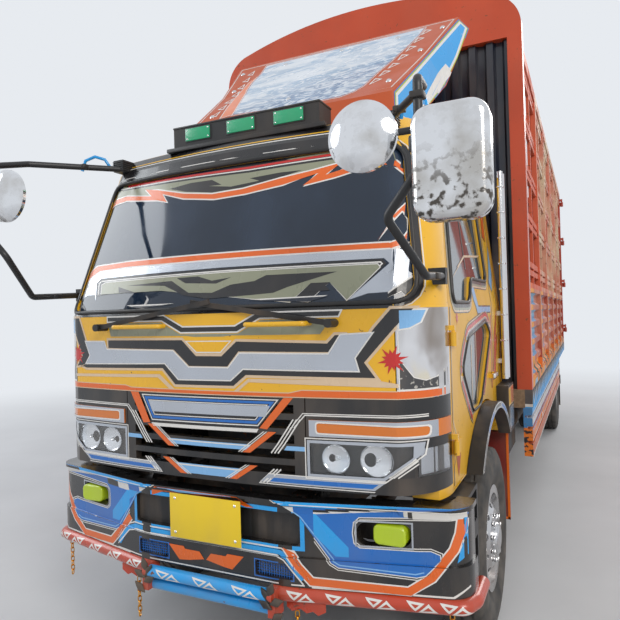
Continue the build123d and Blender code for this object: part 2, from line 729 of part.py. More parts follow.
# Seats: centre x, width
with BuildPart() as seats:
    for x_seat, seat_width in ((-660, 460), (-20, 420), (660, 460)):
        x_low, x_high = x_seat - seat_width / 2, x_seat + seat_width / 2
        base = slab(x_low, x_high, aft(1120), aft(1580), tunnel_top_z + wall, 1540)
        back = slab(x_low, x_high, aft(1580), aft(1700), 1440, 2160)
        add(base + back)
    for side in (-1, 1):
        x_low, x_high = sorted((side * 480, side * 840))
        stand = slab(x_low, x_high, aft(1150), aft(1600), cab_floor_z + 50, tunnel_top_z + wall)
        add(stand - arch_cylinder(arch_radius + arch_wall + fit_gap, x_low, x_high))
finish(seats.part, "seats")

# Wipers: pivot x, tip x, stand-off
with BuildPart() as wipers:
    for x_pivot, x_tip, stand_off in ((634, -60, 16), (-634, 60, 34)):
        pivot = (x_pivot, aft(20 - stand_off), 1746)
        arm = Plane(origin=pivot, x_dir=(x_tip - x_pivot, -20, 110), z_dir=(0, -1, -0.18))
        with BuildSketch(arm):
            with Locations((350, 0)):
                Rectangle(700, 22)
        extrude(amount=10)
        rod((x_pivot, aft(10), 1746), "Y", 18, 100)
        add(front_panel.part, mode=Mode.SUBTRACT)
finish(wipers.part, "wipers")

# Corner vanes: two tubes with rungs behind each door
vane_x = cab_half + 40
with BuildPart() as corner_vanes:
    for side in (-1, 1):
        for back in (1850, 1935):
            rod((side * vane_x, aft(back), 2010), "Z", 20, 1380)
        for rung in range(8):
            z_rung = 1400 + rung * 170
            block(side * vane_x - 8, side * vane_x + 8, aft(1850), aft(1935), z_rung, z_rung + 30)
        for z_foot in (1420, 1740):
            x_low, x_high = sorted((side * cab_half, side * vane_x))
            block(x_low, x_high, aft(1885), aft(1905), z_foot, z_foot + 30)
            block(side * vane_x - 8, side * vane_x + 8, aft(1850), aft(1935), z_foot, z_foot + 30)
finish(corner_vanes.part, "corner_vanes")

# Front bumper: a curved shell with a top shelf and a lower valance
bumper_top_z = 985
bumper_step_z = 745
bumper_bottom_z = 620
bumper_half = 1140
bumper_flat_half = 380
bumper_sweep = 170          # the corners' set back
bumper_end = 330
bumper_wall = 40
tilt_notch_from = 72        # notches in the top shelf, where the cab's tilt brackets swing


def bumper_line(set_back):
    """Plan points of one face of the bumper, from right to left."""
    half = bumper_half - set_back
    return [
        (-half, aft(bumper_end)), (-half, aft(bumper_sweep + set_back)), (-bumper_flat_half, aft(set_back)),
        (bumper_flat_half, aft(set_back)), (half, aft(bumper_sweep + set_back)), (half, aft(bumper_end)),
    ]


# Layers of the shell: low, high, set back of the face, thickness
bumper_layers = [
    (bumper_bottom_z, bumper_step_z, 0, bumper_wall),
    (bumper_step_z, bumper_top_z - 22, 10, bumper_wall),
    (bumper_top_z - 22, bumper_top_z, 0, 2 * bumper_wall),
]
# Openings through the face: centre x, centre z, width, height, corner radius
bumper_openings = [
    (0, 862, 900, 140, 22), (-800, 862, 220, 96, 40), (800, 862, 220, 96, 40),
    (-330, 682, 180, 66, 14), (330, 682, 180, 66, 14),
]
with BuildPart() as front_bumper:
    for low, high, set_back, thickness in bumper_layers:
        with BuildSketch(Plane.XY.offset(low)):
            with BuildLine():
                outer = FilletPolyline(*bumper_line(set_back), radius=[110, 300, 300, 110])
                inner = FilletPolyline(*bumper_line(set_back + thickness), radius=[70, 300, 300, 70])
                Line(outer @ 0, inner @ 0)
                Line(outer @ 1, inner @ 1)
            make_face()
        extrude(amount=high - low)
    with BuildSketch(Plane.XZ.offset(-aft(-30))):
        for x_middle, z_middle, width, height, corner in bumper_openings:
            with Locations((x_middle, z_middle)):
                RectangleRounded(width, height, corner)
    extrude(amount=-270, mode=Mode.SUBTRACT)
    for side in (-1, 1):
        x_low, x_high = sorted((side * 430, side * 490))
        block(x_low, x_high, aft(tilt_notch_from), aft(140), bumper_top_z - 22, bumper_top_z + 1, mode=Mode.SUBTRACT)
        x_low, x_high = sorted((side * (rail_outer_x - rail_flange), side * rail_outer_x))
        block(x_low, x_high, aft(40), aft(tilt_back - 40), 935, 960)
        block(x_low, x_high, aft(40), aft(tilt_back - 40), 740, 788)
        block(x_low, x_high, aft(80), aft(tilt_back - 40), 740, 960)
finish(front_bumper.part, "front_bumper")

# Fog lamps in the outer openings
with BuildPart() as fog_lamps:
    for side in (-1, 1):
        with BuildSketch(Plane.XZ.offset(-aft(95))):
            with Locations((side * 825, 862)):
                RectangleRounded(140, 84, 26)
        extrude(amount=-75)
        fillet(fog_lamps.faces().sort_by(Axis.Y)[0].edges(), 10)
        x_low, x_high = sorted((side * 810, side * 840))
        block(x_low, x_high, aft(163), aft(178), 862, bumper_top_z - 22)
finish(fog_lamps.part, "fog_lamps")

# Bumper pipes below
pipe_radius = 32
pipe_z = bumper_bottom_z - pipe_radius
with BuildPart() as bumper_pipes:
    for side in (-1, 1):
        points = [
            (side * 330, aft(10), pipe_z), (side * 380, aft(10), pipe_z), (side * 1110, aft(172), pipe_z),
            (side * 1140, aft(250), pipe_z), (side * 1140, aft(420), pipe_z),
        ]
        with BuildLine() as pipe_path:
            FilletPolyline(*points, radius=[100, 40, 60])
        with BuildSketch(Plane(origin=pipe_path.line @ 0, z_dir=pipe_path.line % 0)):
            Circle(pipe_radius)
        sweep(path=pipe_path.line)
    for back, height in ((-35, pipe_z), (0, pipe_z - 70)):
        rod((0, aft(back), height), "X", pipe_radius - 4, 700)
    for side in (-1, 1):
        x_low, x_high = sorted((side * 325, side * 360))
        block(x_low, x_high, aft(-50), aft(28), pipe_z - 90, bumper_bottom_z)
finish(bumper_pipes.part, "bumper_pipes")

# Steps between the bumper and the wheels: a boxed case with two ribbed treads
step_levels = (560, 770)
with BuildPart() as cab_steps:
    for side in (-1, 1):
        x_low, x_high = sorted((side * 860, side * 1100))
        block(x_low, x_high, aft(345), aft(590), 560, 975)
        x_low, x_high = sorted((side * 900, side * 1110))
        for z_step in step_levels:
            block(x_low, x_high, aft(370), aft(565), z_step + 50, z_step + 185, mode=Mode.SUBTRACT)
            for rib in range(4):
                y_rib = aft(385 + rib * 48)
                rib_low, rib_high = sorted((side * 940, side * 1100))
                block(rib_low, rib_high, y_rib, y_rib + 14, z_step + 50, z_step + 58)
        x_low, x_high = sorted((side * rail_outer_x, side * 860))
        block(x_low, x_high, aft(440), aft(500), 800, 860)
finish(cab_steps.part, "cab_steps")

# Tie rod behind the axle, below the springs
rod_z = 470
with BuildPart() as tie_rod:
    rod((0, aft(front_axle + arm_back), rod_z), "X", 18, 2 * kingpin_x)
    for side in (-1, 1):
        rod((side * kingpin_x, aft(front_axle + arm_back), rod_z), "Z", 26, 2 * (rod_z - 443.3))
finish(tie_rod.part, "tie_rod")

# Propshaft
shaft_from = Vector(0, aft(1960), 800)
shaft_to = Vector(0, aft(rear_axle - 245), 540)
shaft_line = shaft_to - shaft_from
with BuildPart() as propshaft:
    with BuildSketch(Plane(origin=shaft_from, x_dir=(1, 0, 0), z_dir=shaft_line)):
        Circle(45)
    extrude(amount=shaft_line.length)
    rod((0, aft(1957.5), 800), "Y", 65, 35)
    rod((0, aft(rear_axle - 247.5), 540), "Y", 65, 35)
finish(propshaft.part, "propshaft")

# Fuel tank with its straps and cap
with BuildPart() as fuel_tank:
    block(-1060, -rail_outer_x - 25, aft(2700), aft(3700), 560, 940)
    fillet(fuel_tank.edges().filter_by(Axis.Y), 60)
    fillet(fuel_tank.faces().sort_by(Axis.Y)[0].edges(), 18)
    fillet(fuel_tank.faces().sort_by(Axis.Y)[-1].edges(), 18)
    for place in (2900, 3440):
        with BuildSketch(Plane.XZ.offset(-aft(place))):
            with Locations((-(1060 + rail_outer_x + 25) / 2, 750)):
                RectangleRounded(1060 - rail_outer_x - 25 + 12, 392, 66)
        extrude(amount=-60)
        block(-rail_outer_x - 30, -rail_outer_x, aft(place), aft(place + 60), 745, 955)
    rod((-930, aft(2800), 955), "Z", 45, 70)
finish(fuel_tank.part, "fuel_tank")

# Battery box with a lid and two air tanks behind it
air_tank_places = (560, 850)
with BuildPart() as battery_box:
    block(rail_outer_x, 980, aft(2650), aft(3250), 600, 900)
    block(rail_outer_x, 990, aft(2640), aft(3260), 900, 930)
    for x_tank in air_tank_places:
        rod((x_tank, aft(3900), 780), "Y", 130, 900)
    fillet(battery_box.edges().filter_by(GeomType.CIRCLE), 40)
    for place in (3600, 4200):
        block(rail_outer_x, 850, aft(place), aft(place + 50), 905, 945)
finish(battery_box.part, "battery_box")

# Exhaust silencer with its tail pipe
with BuildPart() as exhaust:
    rod((640, aft(5000), 740), "Y", 120, 900)
    rod((640, aft(5700), 740), "Y", 35, 560)
    for place in (4700, 5240):
        block(rail_outer_x, 660, aft(place), aft(place + 50), 850, 880)
finish(exhaust.part, "exhaust")

# Cargo floor: sills on the rails, bearers, deck and edge rails
with BuildPart() as cargo_floor:
    for side in (-1, 1):
        x_low, x_high = sorted((side * (rail_outer_x - rail_flange), side * rail_outer_x))
        block(x_low, x_high, aft(cargo_start), aft(rail_end), rail_top_z, sill_top_z)
        x_low, x_high = sorted((side * (cargo_half - 50), side * cargo_half))
        block(x_low, x_high, aft(cargo_start), aft(cargo_end), sill_top_z, deck_top_z)
    bearers = 12
    bearer_pitch = (body_length - 80) / (bearers - 1)
    for index in range(bearers):
        place = cargo_start + index * bearer_pitch
        block(-cargo_half + 1, cargo_half - 1, aft(place), aft(place + 80), sill_top_z, bearer_top_z)
    block(-cargo_half, cargo_half, aft(cargo_start), aft(cargo_end), bearer_top_z, deck_top_z)
finish(cargo_floor.part, "cargo_floor")

# Front frame of the body: corner posts, header and arched crest
with BuildPart() as front_frame:
    with BuildSketch(Plane.XZ.offset(-aft(cargo_start))):
        with BuildLine():
            Line((-cargo_half, deck_top_z), (-cargo_half, 3800))
            ThreePointArc((-cargo_half, 3800), (-1165, 3960), (-1020, 4050))
            ThreePointArc((-1020, 4050), (0, crest_top_z), (1020, 4050))
            ThreePointArc((1020, 4050), (1165, 3960), (cargo_half, 3800))
            Polyline(
                (cargo_half, 3800), (cargo_half, deck_top_z), (cargo_half - post_width, deck_top_z),
                (cargo_half - post_width, crest_base_z), (-cargo_half + post_width, crest_base_z),
                (-cargo_half + post_width, deck_top_z), (-cargo_half, deck_top_z),
            )
        make_face()
    extrude(amount=-post_width)
finish(front_frame.part, "front_frame")

# Corrugated front wall
rib_pitch = 125
with BuildPart() as front_wall:
    wall_half = cargo_half - post_width
    with BuildSketch(Plane.XY.offset(deck_top_z)):
        with Locations((0, aft(cargo_start + 60))):
            Rectangle(2 * wall_half, 60)
        ribs = int(2 * wall_half // rib_pitch)
        for index in range(ribs):
            x_rib = (index - (ribs - 1) / 2) * rib_pitch
            with BuildLine():
                y_face = aft(cargo_start + 30)
                Polyline(
                    (x_rib - 40, y_face - 1), (x_rib + 40, y_face - 1),
                    (x_rib + 22, y_face + 36), (x_rib - 22, y_face + 36), close=True,
                )
            make_face(mode=Mode.SUBTRACT)
    extrude(amount=crest_base_z - deck_top_z)
finish(front_wall.part, "front_wall")

# Side walls: posts, rails in pairs above, and corrugated sheet below
open_from_z = 1990
rail_levels = [2030, 2390, 2750, 3110, 3470]
rail_height = 42
rail_spacing = 62           # of the two rails of one pair
slat_depth = 22
post_depth = side_thickness
corrugation_pitch = 130
corrugation_depth = 22
sheet = 8
wall_from = cargo_start + post_width
wall_to = cargo_end - post_width
bay = (wall_to - wall_from) / bay_count
bay_post = 90
with BuildPart() as side_walls:
    for side in (-1, 1):
        x_low, x_high = sorted((side * (cargo_half - post_depth), side * cargo_half))
        for number in range(1, bay_count):
            middle = wall_from + number * bay
            block(x_low, x_high, aft(middle - bay_post / 2), aft(middle + bay_post / 2), deck_top_z, side_top_z)
        block(x_low, x_high, aft(wall_from), aft(wall_to), side_top_z - 80, side_top_z)
        block(x_low, x_high, aft(wall_from), aft(wall_to), open_from_z - 90, open_from_z - 20)
        block(x_low, x_high, aft(wall_from), aft(wall_to), deck_top_z, deck_top_z + 60)
        x_low, x_high = sorted((side * (cargo_half - 12 - slat_depth), side * (cargo_half - 12)))
        for level in rail_levels:
            for rail_z in (level, level + rail_spacing):
                block(x_low, x_high, aft(wall_from), aft(wall_to), rail_z, rail_z + rail_height)
        for number in range(bay_count):
            middle = wall_from + (number + 0.5) * bay
            block(x_low, x_high, aft(middle - 20), aft(middle + 20), open_from_z - 90, side_top_z - 80)
        with BuildSketch(Plane.XZ.offset(-aft(wall_from))):
            with BuildLine():
                outer_x = side * (cargo_half - 10)
                inner_x = side * (cargo_half - 10 - corrugation_depth)
                face = [(outer_x, deck_top_z + 40)]
                rib_z = deck_top_z + 60
                while rib_z + corrugation_pitch < open_from_z - 60:
                    face += [
                        (outer_x, rib_z + 20), (inner_x, rib_z + 42),
                        (inner_x, rib_z + corrugation_pitch - 42), (outer_x, rib_z + corrugation_pitch - 20),
                    ]
                    rib_z += corrugation_pitch
                face.append((outer_x, open_from_z - 60))
                back = [(x - side * sheet, height) for x, height in reversed(face)]
                Polyline(*face, *back, close=True)
            make_face()
        extrude(amount=-(wall_to - wall_from))
finish(side_walls.part, "side_walls")

# Tail frame with the hinge pins of its doors
pin_x = cargo_half + 30
pin_y = aft(cargo_end + 5 + tail_door_thickness / 2)
pin_radius = 10
tail_hinges = (1400, 2150, 2850, 3500)
with BuildPart() as tail_frame:
    for side in (-1, 1):
        x_low, x_high = sorted((side * (cargo_half - post_width), side * cargo_half))
        block(x_low, x_high, aft(wall_to), aft(cargo_end), deck_top_z, side_top_z)
        for z_hinge in tail_hinges:
            rod((side * pin_x, pin_y, z_hinge + 30), "Z", pin_radius, 130)
            with BuildSketch(Plane.XY.offset(z_hinge + 50)):
                with BuildLine():
                    Polyline(
                        (side * (pin_x - 6), pin_y + 9), (side * (pin_x + 9), pin_y - 6),
                        (side * (cargo_half - 2), aft(cargo_end - 12)), (side * (cargo_half - 12), aft(cargo_end - 2)),
                        close=True,
                    )
                make_face()
            extrude(amount=40)
    block(-cargo_half + post_width, cargo_half - post_width, aft(wall_to), aft(cargo_end), side_top_z - 100, side_top_z)
finish(tail_frame.part, "tail_frame")

# Tail doors: framed sheets with sunk panels, lock rods and handles
panel_sink = 25
rod_from_face = 13
door_panels = [(deck_top_z + 90, 1950), (2030, 2790), (2870, side_top_z - 110)]
for name, side in (("left", 1), ("right", -1)):
    x_low, x_high = sorted((side * 3, side * (cargo_half - 10)))
    door_face = aft(cargo_end + 5 + tail_door_thickness)
    with BuildPart() as tail_door:
        block(x_low, x_high, aft(cargo_end + 5), door_face, deck_top_z + 5, side_top_z - 20)
        for low, high in door_panels:
            for from_x, to_x in ((90, 540), (620, cargo_half - 100)):
                x_low, x_high = sorted((side * from_x, side * to_x))
                block(x_low, x_high, door_face - panel_sink, door_face + 1, low, high, mode=Mode.SUBTRACT)
                for rib in (1, 2):
                    x_rib = side * (from_x + rib * (to_x - from_x) / 3)
                    block(x_rib - 20, x_rib + 20, door_face - panel_sink, door_face - panel_sink + 12, low, high)
        x_low, x_high = sorted((side * 562, side * 598))
        block(x_low, x_high, door_face - panel_sink, door_face + 1, deck_top_z + 30, side_top_z - 60, mode=Mode.SUBTRACT)
        rod((side * 580, door_face - rod_from_face, (deck_top_z + side_top_z) / 2), "Z", 11, side_top_z - deck_top_z - 90)
        for z_guide in (deck_top_z + 120, 1990, 2830, side_top_z - 160):
            block(side * 580 - 20, side * 580 + 20, door_face - panel_sink, door_face - 2, z_guide, z_guide + 40)
        x_low, x_high = sorted((side * 420, side * 590))
        block(x_low, x_high, door_face - 19, door_face - 5, 1560, 1592)
        for z_hinge in tail_hinges:
            x_low, x_high = sorted((side * (cargo_half - 60), side * pin_x))
            block(x_low, x_high, pin_y - 8, pin_y + 8, z_hinge - 30, z_hinge + 40)
            rod((side * pin_x, pin_y, z_hinge + 5), "Z", 20, 70)
            rod((side * pin_x, pin_y, z_hinge + 5), "Z", pin_radius + pin_clearance, 80, mode=Mode.SUBTRACT)
    finish(tail_door.part, f"tail_door_{name}")

# Tail bumper with the towing jaw cut into its middle, for an upright drawbar pin
jaw_bore_radius = 15.5
jaw_place = cargo_end + tail_stand - 35
with BuildPart() as tail_bumper:
    block(-1150, 1150, aft(cargo_end - 20), aft(cargo_end + tail_stand), 500, 640)
    block(-90, 90, aft(cargo_end + 20), aft(cargo_end + tail_stand + 1), 540, 600, mode=Mode.SUBTRACT)
    rod((0, aft(jaw_place), 570), "Z", jaw_bore_radius, 200, mode=Mode.SUBTRACT)
    for side in (-1, 1):
        x_low, x_high = sorted((side * (rail_outer_x - rail_flange), side * rail_outer_x))
        block(x_low, x_high, aft(cargo_end - 200), aft(cargo_end - 70), 560, rail_bottom_z)
        block(x_low, x_high, aft(cargo_end - 75), aft(cargo_end - 20), 560, 640)
finish(tail_bumper.part, "tail_bumper")

# Side guards below the body, both sides
guard_rows = [(740, 830), (850, 930), (950, 1010), (1030, sill_top_z)]
with BuildPart() as side_guards:
    for side in (-1, 1):
        x_low, x_high = sorted((side * 1185, side * 1220))
        for low, high in guard_rows:
            block(x_low, x_high, aft(cargo_start), aft(rear_axle - 640), low, high)
        x_low, x_high = sorted((side * 1160, side * 1185))
        for place in (cargo_start, cargo_start + 1420, cargo_start + 2840, rear_axle - 740):
            block(x_low, x_high, aft(place), aft(place + 100), 740, sill_top_z)
finish(side_guards.part, "side_guards")

# Mudflaps
with BuildPart() as mudflaps:
    for side in (-1, 1):
        x_low, x_high = sorted((side * 800, side * 1090))
        block(x_low, x_high, aft(1860), aft(1870), 380, 960)
        x_low, x_high = sorted((side * rail_outer_x, side * 1090))
        block(x_low, x_high, aft(1870), aft(1900), 920, 960)
        x_low, x_high = sorted((side * 600, side * 1170))
        block(x_low, x_high, aft(rear_axle + 600), aft(rear_axle + 610), 250, 950)
        x_low, x_high = sorted((side * rail_outer_x, side * 1170))
        block(x_low, x_high, aft(rear_axle + 610), aft(rear_axle + 640), 900, 950)
finish(mudflaps.part, "mudflaps")
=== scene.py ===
import math
from functools import partial
import bpy
from mathutils import Matrix, Vector


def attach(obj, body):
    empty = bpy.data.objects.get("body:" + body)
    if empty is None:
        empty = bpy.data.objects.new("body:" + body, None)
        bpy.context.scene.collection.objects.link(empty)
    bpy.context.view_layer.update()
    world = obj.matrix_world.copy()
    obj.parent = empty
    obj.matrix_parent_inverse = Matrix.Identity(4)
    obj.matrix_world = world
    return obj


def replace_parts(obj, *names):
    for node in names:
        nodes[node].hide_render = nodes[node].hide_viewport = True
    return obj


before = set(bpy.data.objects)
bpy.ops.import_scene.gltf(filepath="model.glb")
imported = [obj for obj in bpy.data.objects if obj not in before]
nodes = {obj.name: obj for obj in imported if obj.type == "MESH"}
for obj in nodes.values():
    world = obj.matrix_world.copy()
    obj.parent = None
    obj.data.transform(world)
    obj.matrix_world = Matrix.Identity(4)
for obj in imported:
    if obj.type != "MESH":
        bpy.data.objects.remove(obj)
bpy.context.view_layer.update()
print("frame loaded:", len(nodes), "nodes")

frontY = -4.025  # Y of the cab's front panel
frontAxle, rearAxle, hubHeight = 1.2, 7.1, 0.5  # the axles behind the front panel, and their height
sides = ((1, "left"), (-1, "right"))
viewerSides = ((1, "right"), (-1, "left"))  # named as they stand in the photograph
rightAngle = math.pi / 2


def aft(distance):
    return frontY + distance  # a place this far behind the front panel


def mm(*values):
    # an outline from millimetres, two by two
    return [(u / 1000, v / 1000) for u, v in zip(values[::2], values[1::2])]


# Colours as painted
paints = {
    "yellow": (0.86, 0.46, 0.008), "orange": (0.76, 0.125, 0.005), "brick": (0.42, 0.042, 0.014),
    "red": (0.56, 0.012, 0.01), "skyBlue": (0.01, 0.34, 0.78), "paleBlue": (0.22, 0.47, 0.78),
    "deepBlue": (0.006, 0.14, 0.5), "navy": (0.01, 0.016, 0.032), "black": (0.007, 0.007, 0.009),
    "white": (0.76, 0.74, 0.7), "cream": (0.7, 0.52, 0.34), "khaki": (0.27, 0.28, 0.19),
    "silver": (0.5, 0.53, 0.58), "coral": (0.6, 0.17, 0.09), "dust": (0.3, 0.22, 0.155),
    "rust": (0.17, 0.055, 0.02),
}


# Small helpers for selecting and shaping
def editMode():
    bpy.ops.object.mode_set(mode="EDIT")


def objectMode():
    bpy.ops.object.mode_set(mode="OBJECT")


def selectAll():
    bpy.ops.mesh.select_all(action="SELECT")


def clearSelection():
    if bpy.context.mode != "OBJECT":
        objectMode()
    bpy.ops.object.select_all(action="DESELECT")


def pick(piece):
    clearSelection()
    piece.select_set(True)
    bpy.context.view_layer.objects.active = piece
    return piece


def named(name):
    piece = bpy.context.object
    piece.name = name
    piece.data.name = name
    return piece


def settle(piece):
    # the place goes into the mesh, and the object stays at the origin
    pick(piece)
    bpy.ops.object.transform_apply(location=True, rotation=True, scale=True)
    return piece


def applyAll(piece):
    pick(piece)
    for modifier in list(piece.modifiers):
        bpy.ops.object.modifier_apply(modifier=modifier.name)
    return piece


def wear(piece, finish, body):
    piece.data.materials.clear()
    piece.data.materials.append(finishes[finish])
    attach(piece, body)
    return piece


def smooth(piece, angle=35):
    pick(piece)
    bpy.ops.object.shade_smooth_by_angle(angle=math.radians(angle))
    return piece


def chooseVertices(piece, wanted):
    # goes into edit mode with only the vertices that pass the test selected
    pick(piece)
    editMode()
    bpy.ops.mesh.select_all(action="DESELECT")
    objectMode()
    for vertex in piece.data.vertices:
        vertex.select = wanted(vertex)
    editMode()
    bpy.ops.mesh.select_mode(type="VERT")


def roundEdges(piece, bevel, segments=2):
    pick(piece)
    editMode()
    selectAll()
    bpy.ops.mesh.bevel(offset=bevel, segments=segments, affect="EDGES")
    objectMode()


def joined(parts):
    clearSelection()
    for part in parts:
        part.select_set(True)
    bpy.context.view_layer.objects.active = parts[0]
    if len(parts) > 1:
        bpy.ops.object.join()
    return parts[0]


def thickened(piece, thickness, offset=-1):
    wall = piece.modifiers.new("wall", "SOLIDIFY")
    wall.thickness = thickness
    wall.offset = offset
    return applyAll(piece)


def curveMesh(name, lines, closed=True, **settings):
    # straight lines through points, filled, drawn out or round as the curve's settings say
    curve = bpy.data.curves.new(name, "CURVE")
    for setting, value in settings.items():
        setattr(curve, setting, value)
    for line in lines:
        spline = curve.splines.new("POLY")
        spline.points.add(len(line) - 1)
        for point, spot in zip(spline.points, line):
            point.co = (*spot, 0)[:3] + (1,)
        spline.use_cyclic_u = closed
    piece = bpy.data.objects.new(name, curve)
    bpy.context.scene.collection.objects.link(piece)
    pick(piece)
    bpy.ops.object.convert(target="MESH")
    return bpy.context.object


# Finishes: every surface gets nodes
finishes = {}


def startFinish(name):
    # nodes made after this belong to this finish
    global tree
    material = bpy.data.materials.new(name)
    material.use_nodes = True
    tree = material.node_tree
    tree.nodes.clear()
    shader = newNode("BsdfPrincipled")
    newNode("OutputMaterial", {0: shader.outputs[0]})
    return material, shader


def feed(socket, value):
    if isinstance(value, bpy.types.NodeSocket):
        tree.links.new(value, socket)
    elif isinstance(value, tuple) and len(value) == 3 and socket.type == "RGBA":
        socket.default_value = (*value, 1)
    else:
        socket.default_value = value


def feedAll(node, inputs):
    for socket, value in inputs.items():
        feed(node.inputs[socket], value)


def newNode(kind, inputs=None, **settings):
    node = tree.nodes.new("ShaderNode" + kind)
    for setting, value in settings.items():
        setattr(node, setting, value)
    feedAll(node, inputs or {})
    return node


def place():
    for node in tree.nodes:
        if node.bl_idname == "ShaderNodeTexCoord":
            return node.outputs["Object"]
    return newNode("TexCoord").outputs["Object"]


def axisOf(axis):
    for node in tree.nodes:
        if node.label == "place":
            return node.outputs[axis]
    return newNode("SeparateXYZ", {0: place()}, label="place").outputs[axis]


def noise(scale, detail=4.0, stretch=None, distortion=0.0):
    spot = place()
    if stretch:
        spot = newNode("Mapping", {"Scale": stretch, 0: spot}).outputs[0]
    return newNode("TexNoise", {"Scale": scale, "Detail": detail, "Distortion": distortion,
        "Vector": spot}).outputs["Fac"]


def maths(operation, first, second=0.0, clamp=False):
    return newNode("Math", {0: first, 1: second}, operation=operation, use_clamp=clamp).outputs[0]


plus, minus = partial(maths, "ADD"), partial(maths, "SUBTRACT")
times, divided = partial(maths, "MULTIPLY"), partial(maths, "DIVIDE")
below, over = partial(maths, "LESS_THAN"), partial(maths, "GREATER_THAN")
magnitude, fraction = partial(maths, "ABSOLUTE"), partial(maths, "FRACT")
most, root = partial(maths, "MAXIMUM"), partial(maths, "SQRT")


def between(value, low, high, fromValue=0.0, toValue=1.0):
    return newNode("MapRange", {"Value": value, "From Min": low, "From Max": high, "To Min": fromValue,
        "To Max": toValue}, interpolation_type="SMOOTHSTEP").outputs[0]


def blend(amount, first, second, kind="MIX"):
    return newNode("Mix", {0: amount, 6: first, 7: second}, data_type="RGBA", blend_type=kind).outputs[2]


def bumpFrom(shader, height, strength, distance):
    bump = newNode("Bump", {"Strength": strength, "Distance": distance, "Height": height})
    feed(shader.inputs["Normal"], bump.outputs[0])


def inside(low, high):
    # 1 inside a box of the row frame, 0 outside
    result = None
    for axis in range(3):
        for limit, test in ((low[axis], over), (high[axis], below)):
            if limit is None:
                continue
            found = test(axisOf(axis), limit)
            result = found if result is None else times(result, found)
    return result


def makeFinish(key, colour, roughness=0.35, metal=0.0, mottle=0.1, mottleScale=3.0, dirt=0.25, dirtTop=1.5,
        dirtScale=5.0, chips=0.0, chipColour=paints["rust"], grain=0.15, grainScale=260.0,
        grainDepth=0.0006, coat=0.0, zones=(), emission=None, transmission=0.0, title=None):
    material, shader = startFinish(title or key)
    base = colour() if callable(colour) else colour
    for low, high, zoneColour in zones:
        base = blend(inside(low, high), base, zoneColour)
    # broad fading, then grime that gathers low down, then chips
    fade = between(noise(mottleScale, 6.0), 0.32, 0.72)
    base = blend(times(fade, mottle), base, (0.55, 0.5, 0.45), "MULTIPLY")
    streak = noise(dirtScale, 8.0, stretch=(1.0, 1.0, 0.35))
    height = between(axisOf(2), 0.2, dirtTop, 1.0, 0.22)
    grime = times(between(streak, 0.4, 0.75), height)
    grime = times(grime, dirt, clamp=True)
    base = blend(grime, base, paints["dust"])
    rough = plus(between(streak, 0.3, 0.8, roughness * 0.8, roughness * 1.25), times(grime, 0.5),
        clamp=True)
    if chips:
        spots = between(noise(38.0, 10.0, distortion=0.6), 0.7 - chips * 0.1, 0.74 - chips * 0.1)
        base = blend(spots, base, chipColour)
        rough = plus(rough, times(spots, 0.3), clamp=True)
    feedAll(shader, {"Base Color": base, "Roughness": rough, "Metallic": metal, "IOR": 1.5,
        "Coat Weight": coat, "Coat Roughness": 0.12, "Transmission Weight": transmission})
    if emission:
        feedAll(shader, {"Emission Color": emission, "Emission Strength": 0.12})
    bumpFrom(shader, noise(grainScale, 3.0), grain, grainDepth)
    finishes[key] = material


def lacquer(key, **extra):
    values = dict(roughness=0.28, dirt=0.22, coat=0.35, grain=0.08, grainScale=90.0, mottle=0.08)
    makeFinish(key, paints[key], title=key + "Paint", **{**values, **extra})


for colourName in ("yellow", "orange", "red", "skyBlue", "paleBlue", "deepBlue", "black", "white", "cream",
        "khaki", "coral", "navy"):
    lacquer(colourName)
lacquer("brick", roughness=0.42, mottle=0.35, dirt=0.3, chips=0.5)
makeFinish("silver", paints["silver"], title="silverFoil", roughness=0.24, metal=0.75, dirt=0.25,
    grain=0.05)
makeFinish("chrome", (0.72, 0.72, 0.73), title="chromePlate", roughness=0.1, metal=1.0, dirt=0.35,
    mottle=0.15, grain=0.04)


def mirrorFinish():
    # chrome heads, worn and speckled near their feet, on black tube arms
    material, shader = startFinish("mirrorMetal")
    across = magnitude(axisOf(0))
    square = times(over(across, 1.1035), below(axisOf(1), aft(-0.345)))
    disc = times(below(across, 1.031), below(axisOf(1), aft(-0.299)))
    disc = times(disc, over(axisOf(2), 2.262))
    head = most(square, disc)
    low = between(axisOf(2), 2.12, 2.32, 1.0, 0.06)
    spots = times(between(noise(34.0, 12.0), 0.5, 0.6), low)
    haze = between(noise(7.0, 6.0), 0.4, 0.75)
    chrome = blend(haze, (0.78, 0.79, 0.81), (0.52, 0.5, 0.47))
    chrome = blend(spots, chrome, (0.05, 0.042, 0.034))
    feed(shader.inputs["Base Color"], blend(head, (0.016, 0.016, 0.017), chrome))
    feed(shader.inputs["Metallic"], times(head, minus(1.0, spots)))
    sheen = plus(0.07, times(haze, 0.1))
    sheen = plus(sheen, times(spots, 0.45))
    feed(shader.inputs["Roughness"], most(sheen, minus(0.42, head)))
    bumpFrom(shader, noise(60.0, 6.0), 0.06, 0.001)
    finishes["wornChrome"] = material


mirrorFinish()
makeFinish("blackPlastic", (0.014, 0.014, 0.015), roughness=0.5, dirt=0.4, dirtTop=3.5)
makeFinish("sealRubber", (0.008, 0.008, 0.009), roughness=0.38, dirt=0.2, dirtTop=3.0)
print("finishes made:", len(finishes))

# Vinyl: flat shapes laid on the CAD surfaces
vinylSet = {"frontStart": 6.0, "sideStart": 2.5, "sideCut": 0.4, "lift": 0.0011, "step": 0.00035,
    "thickness": 0.00025, "frontCut": 0.085, "rowCut": 0.12}
vinylCount = 0


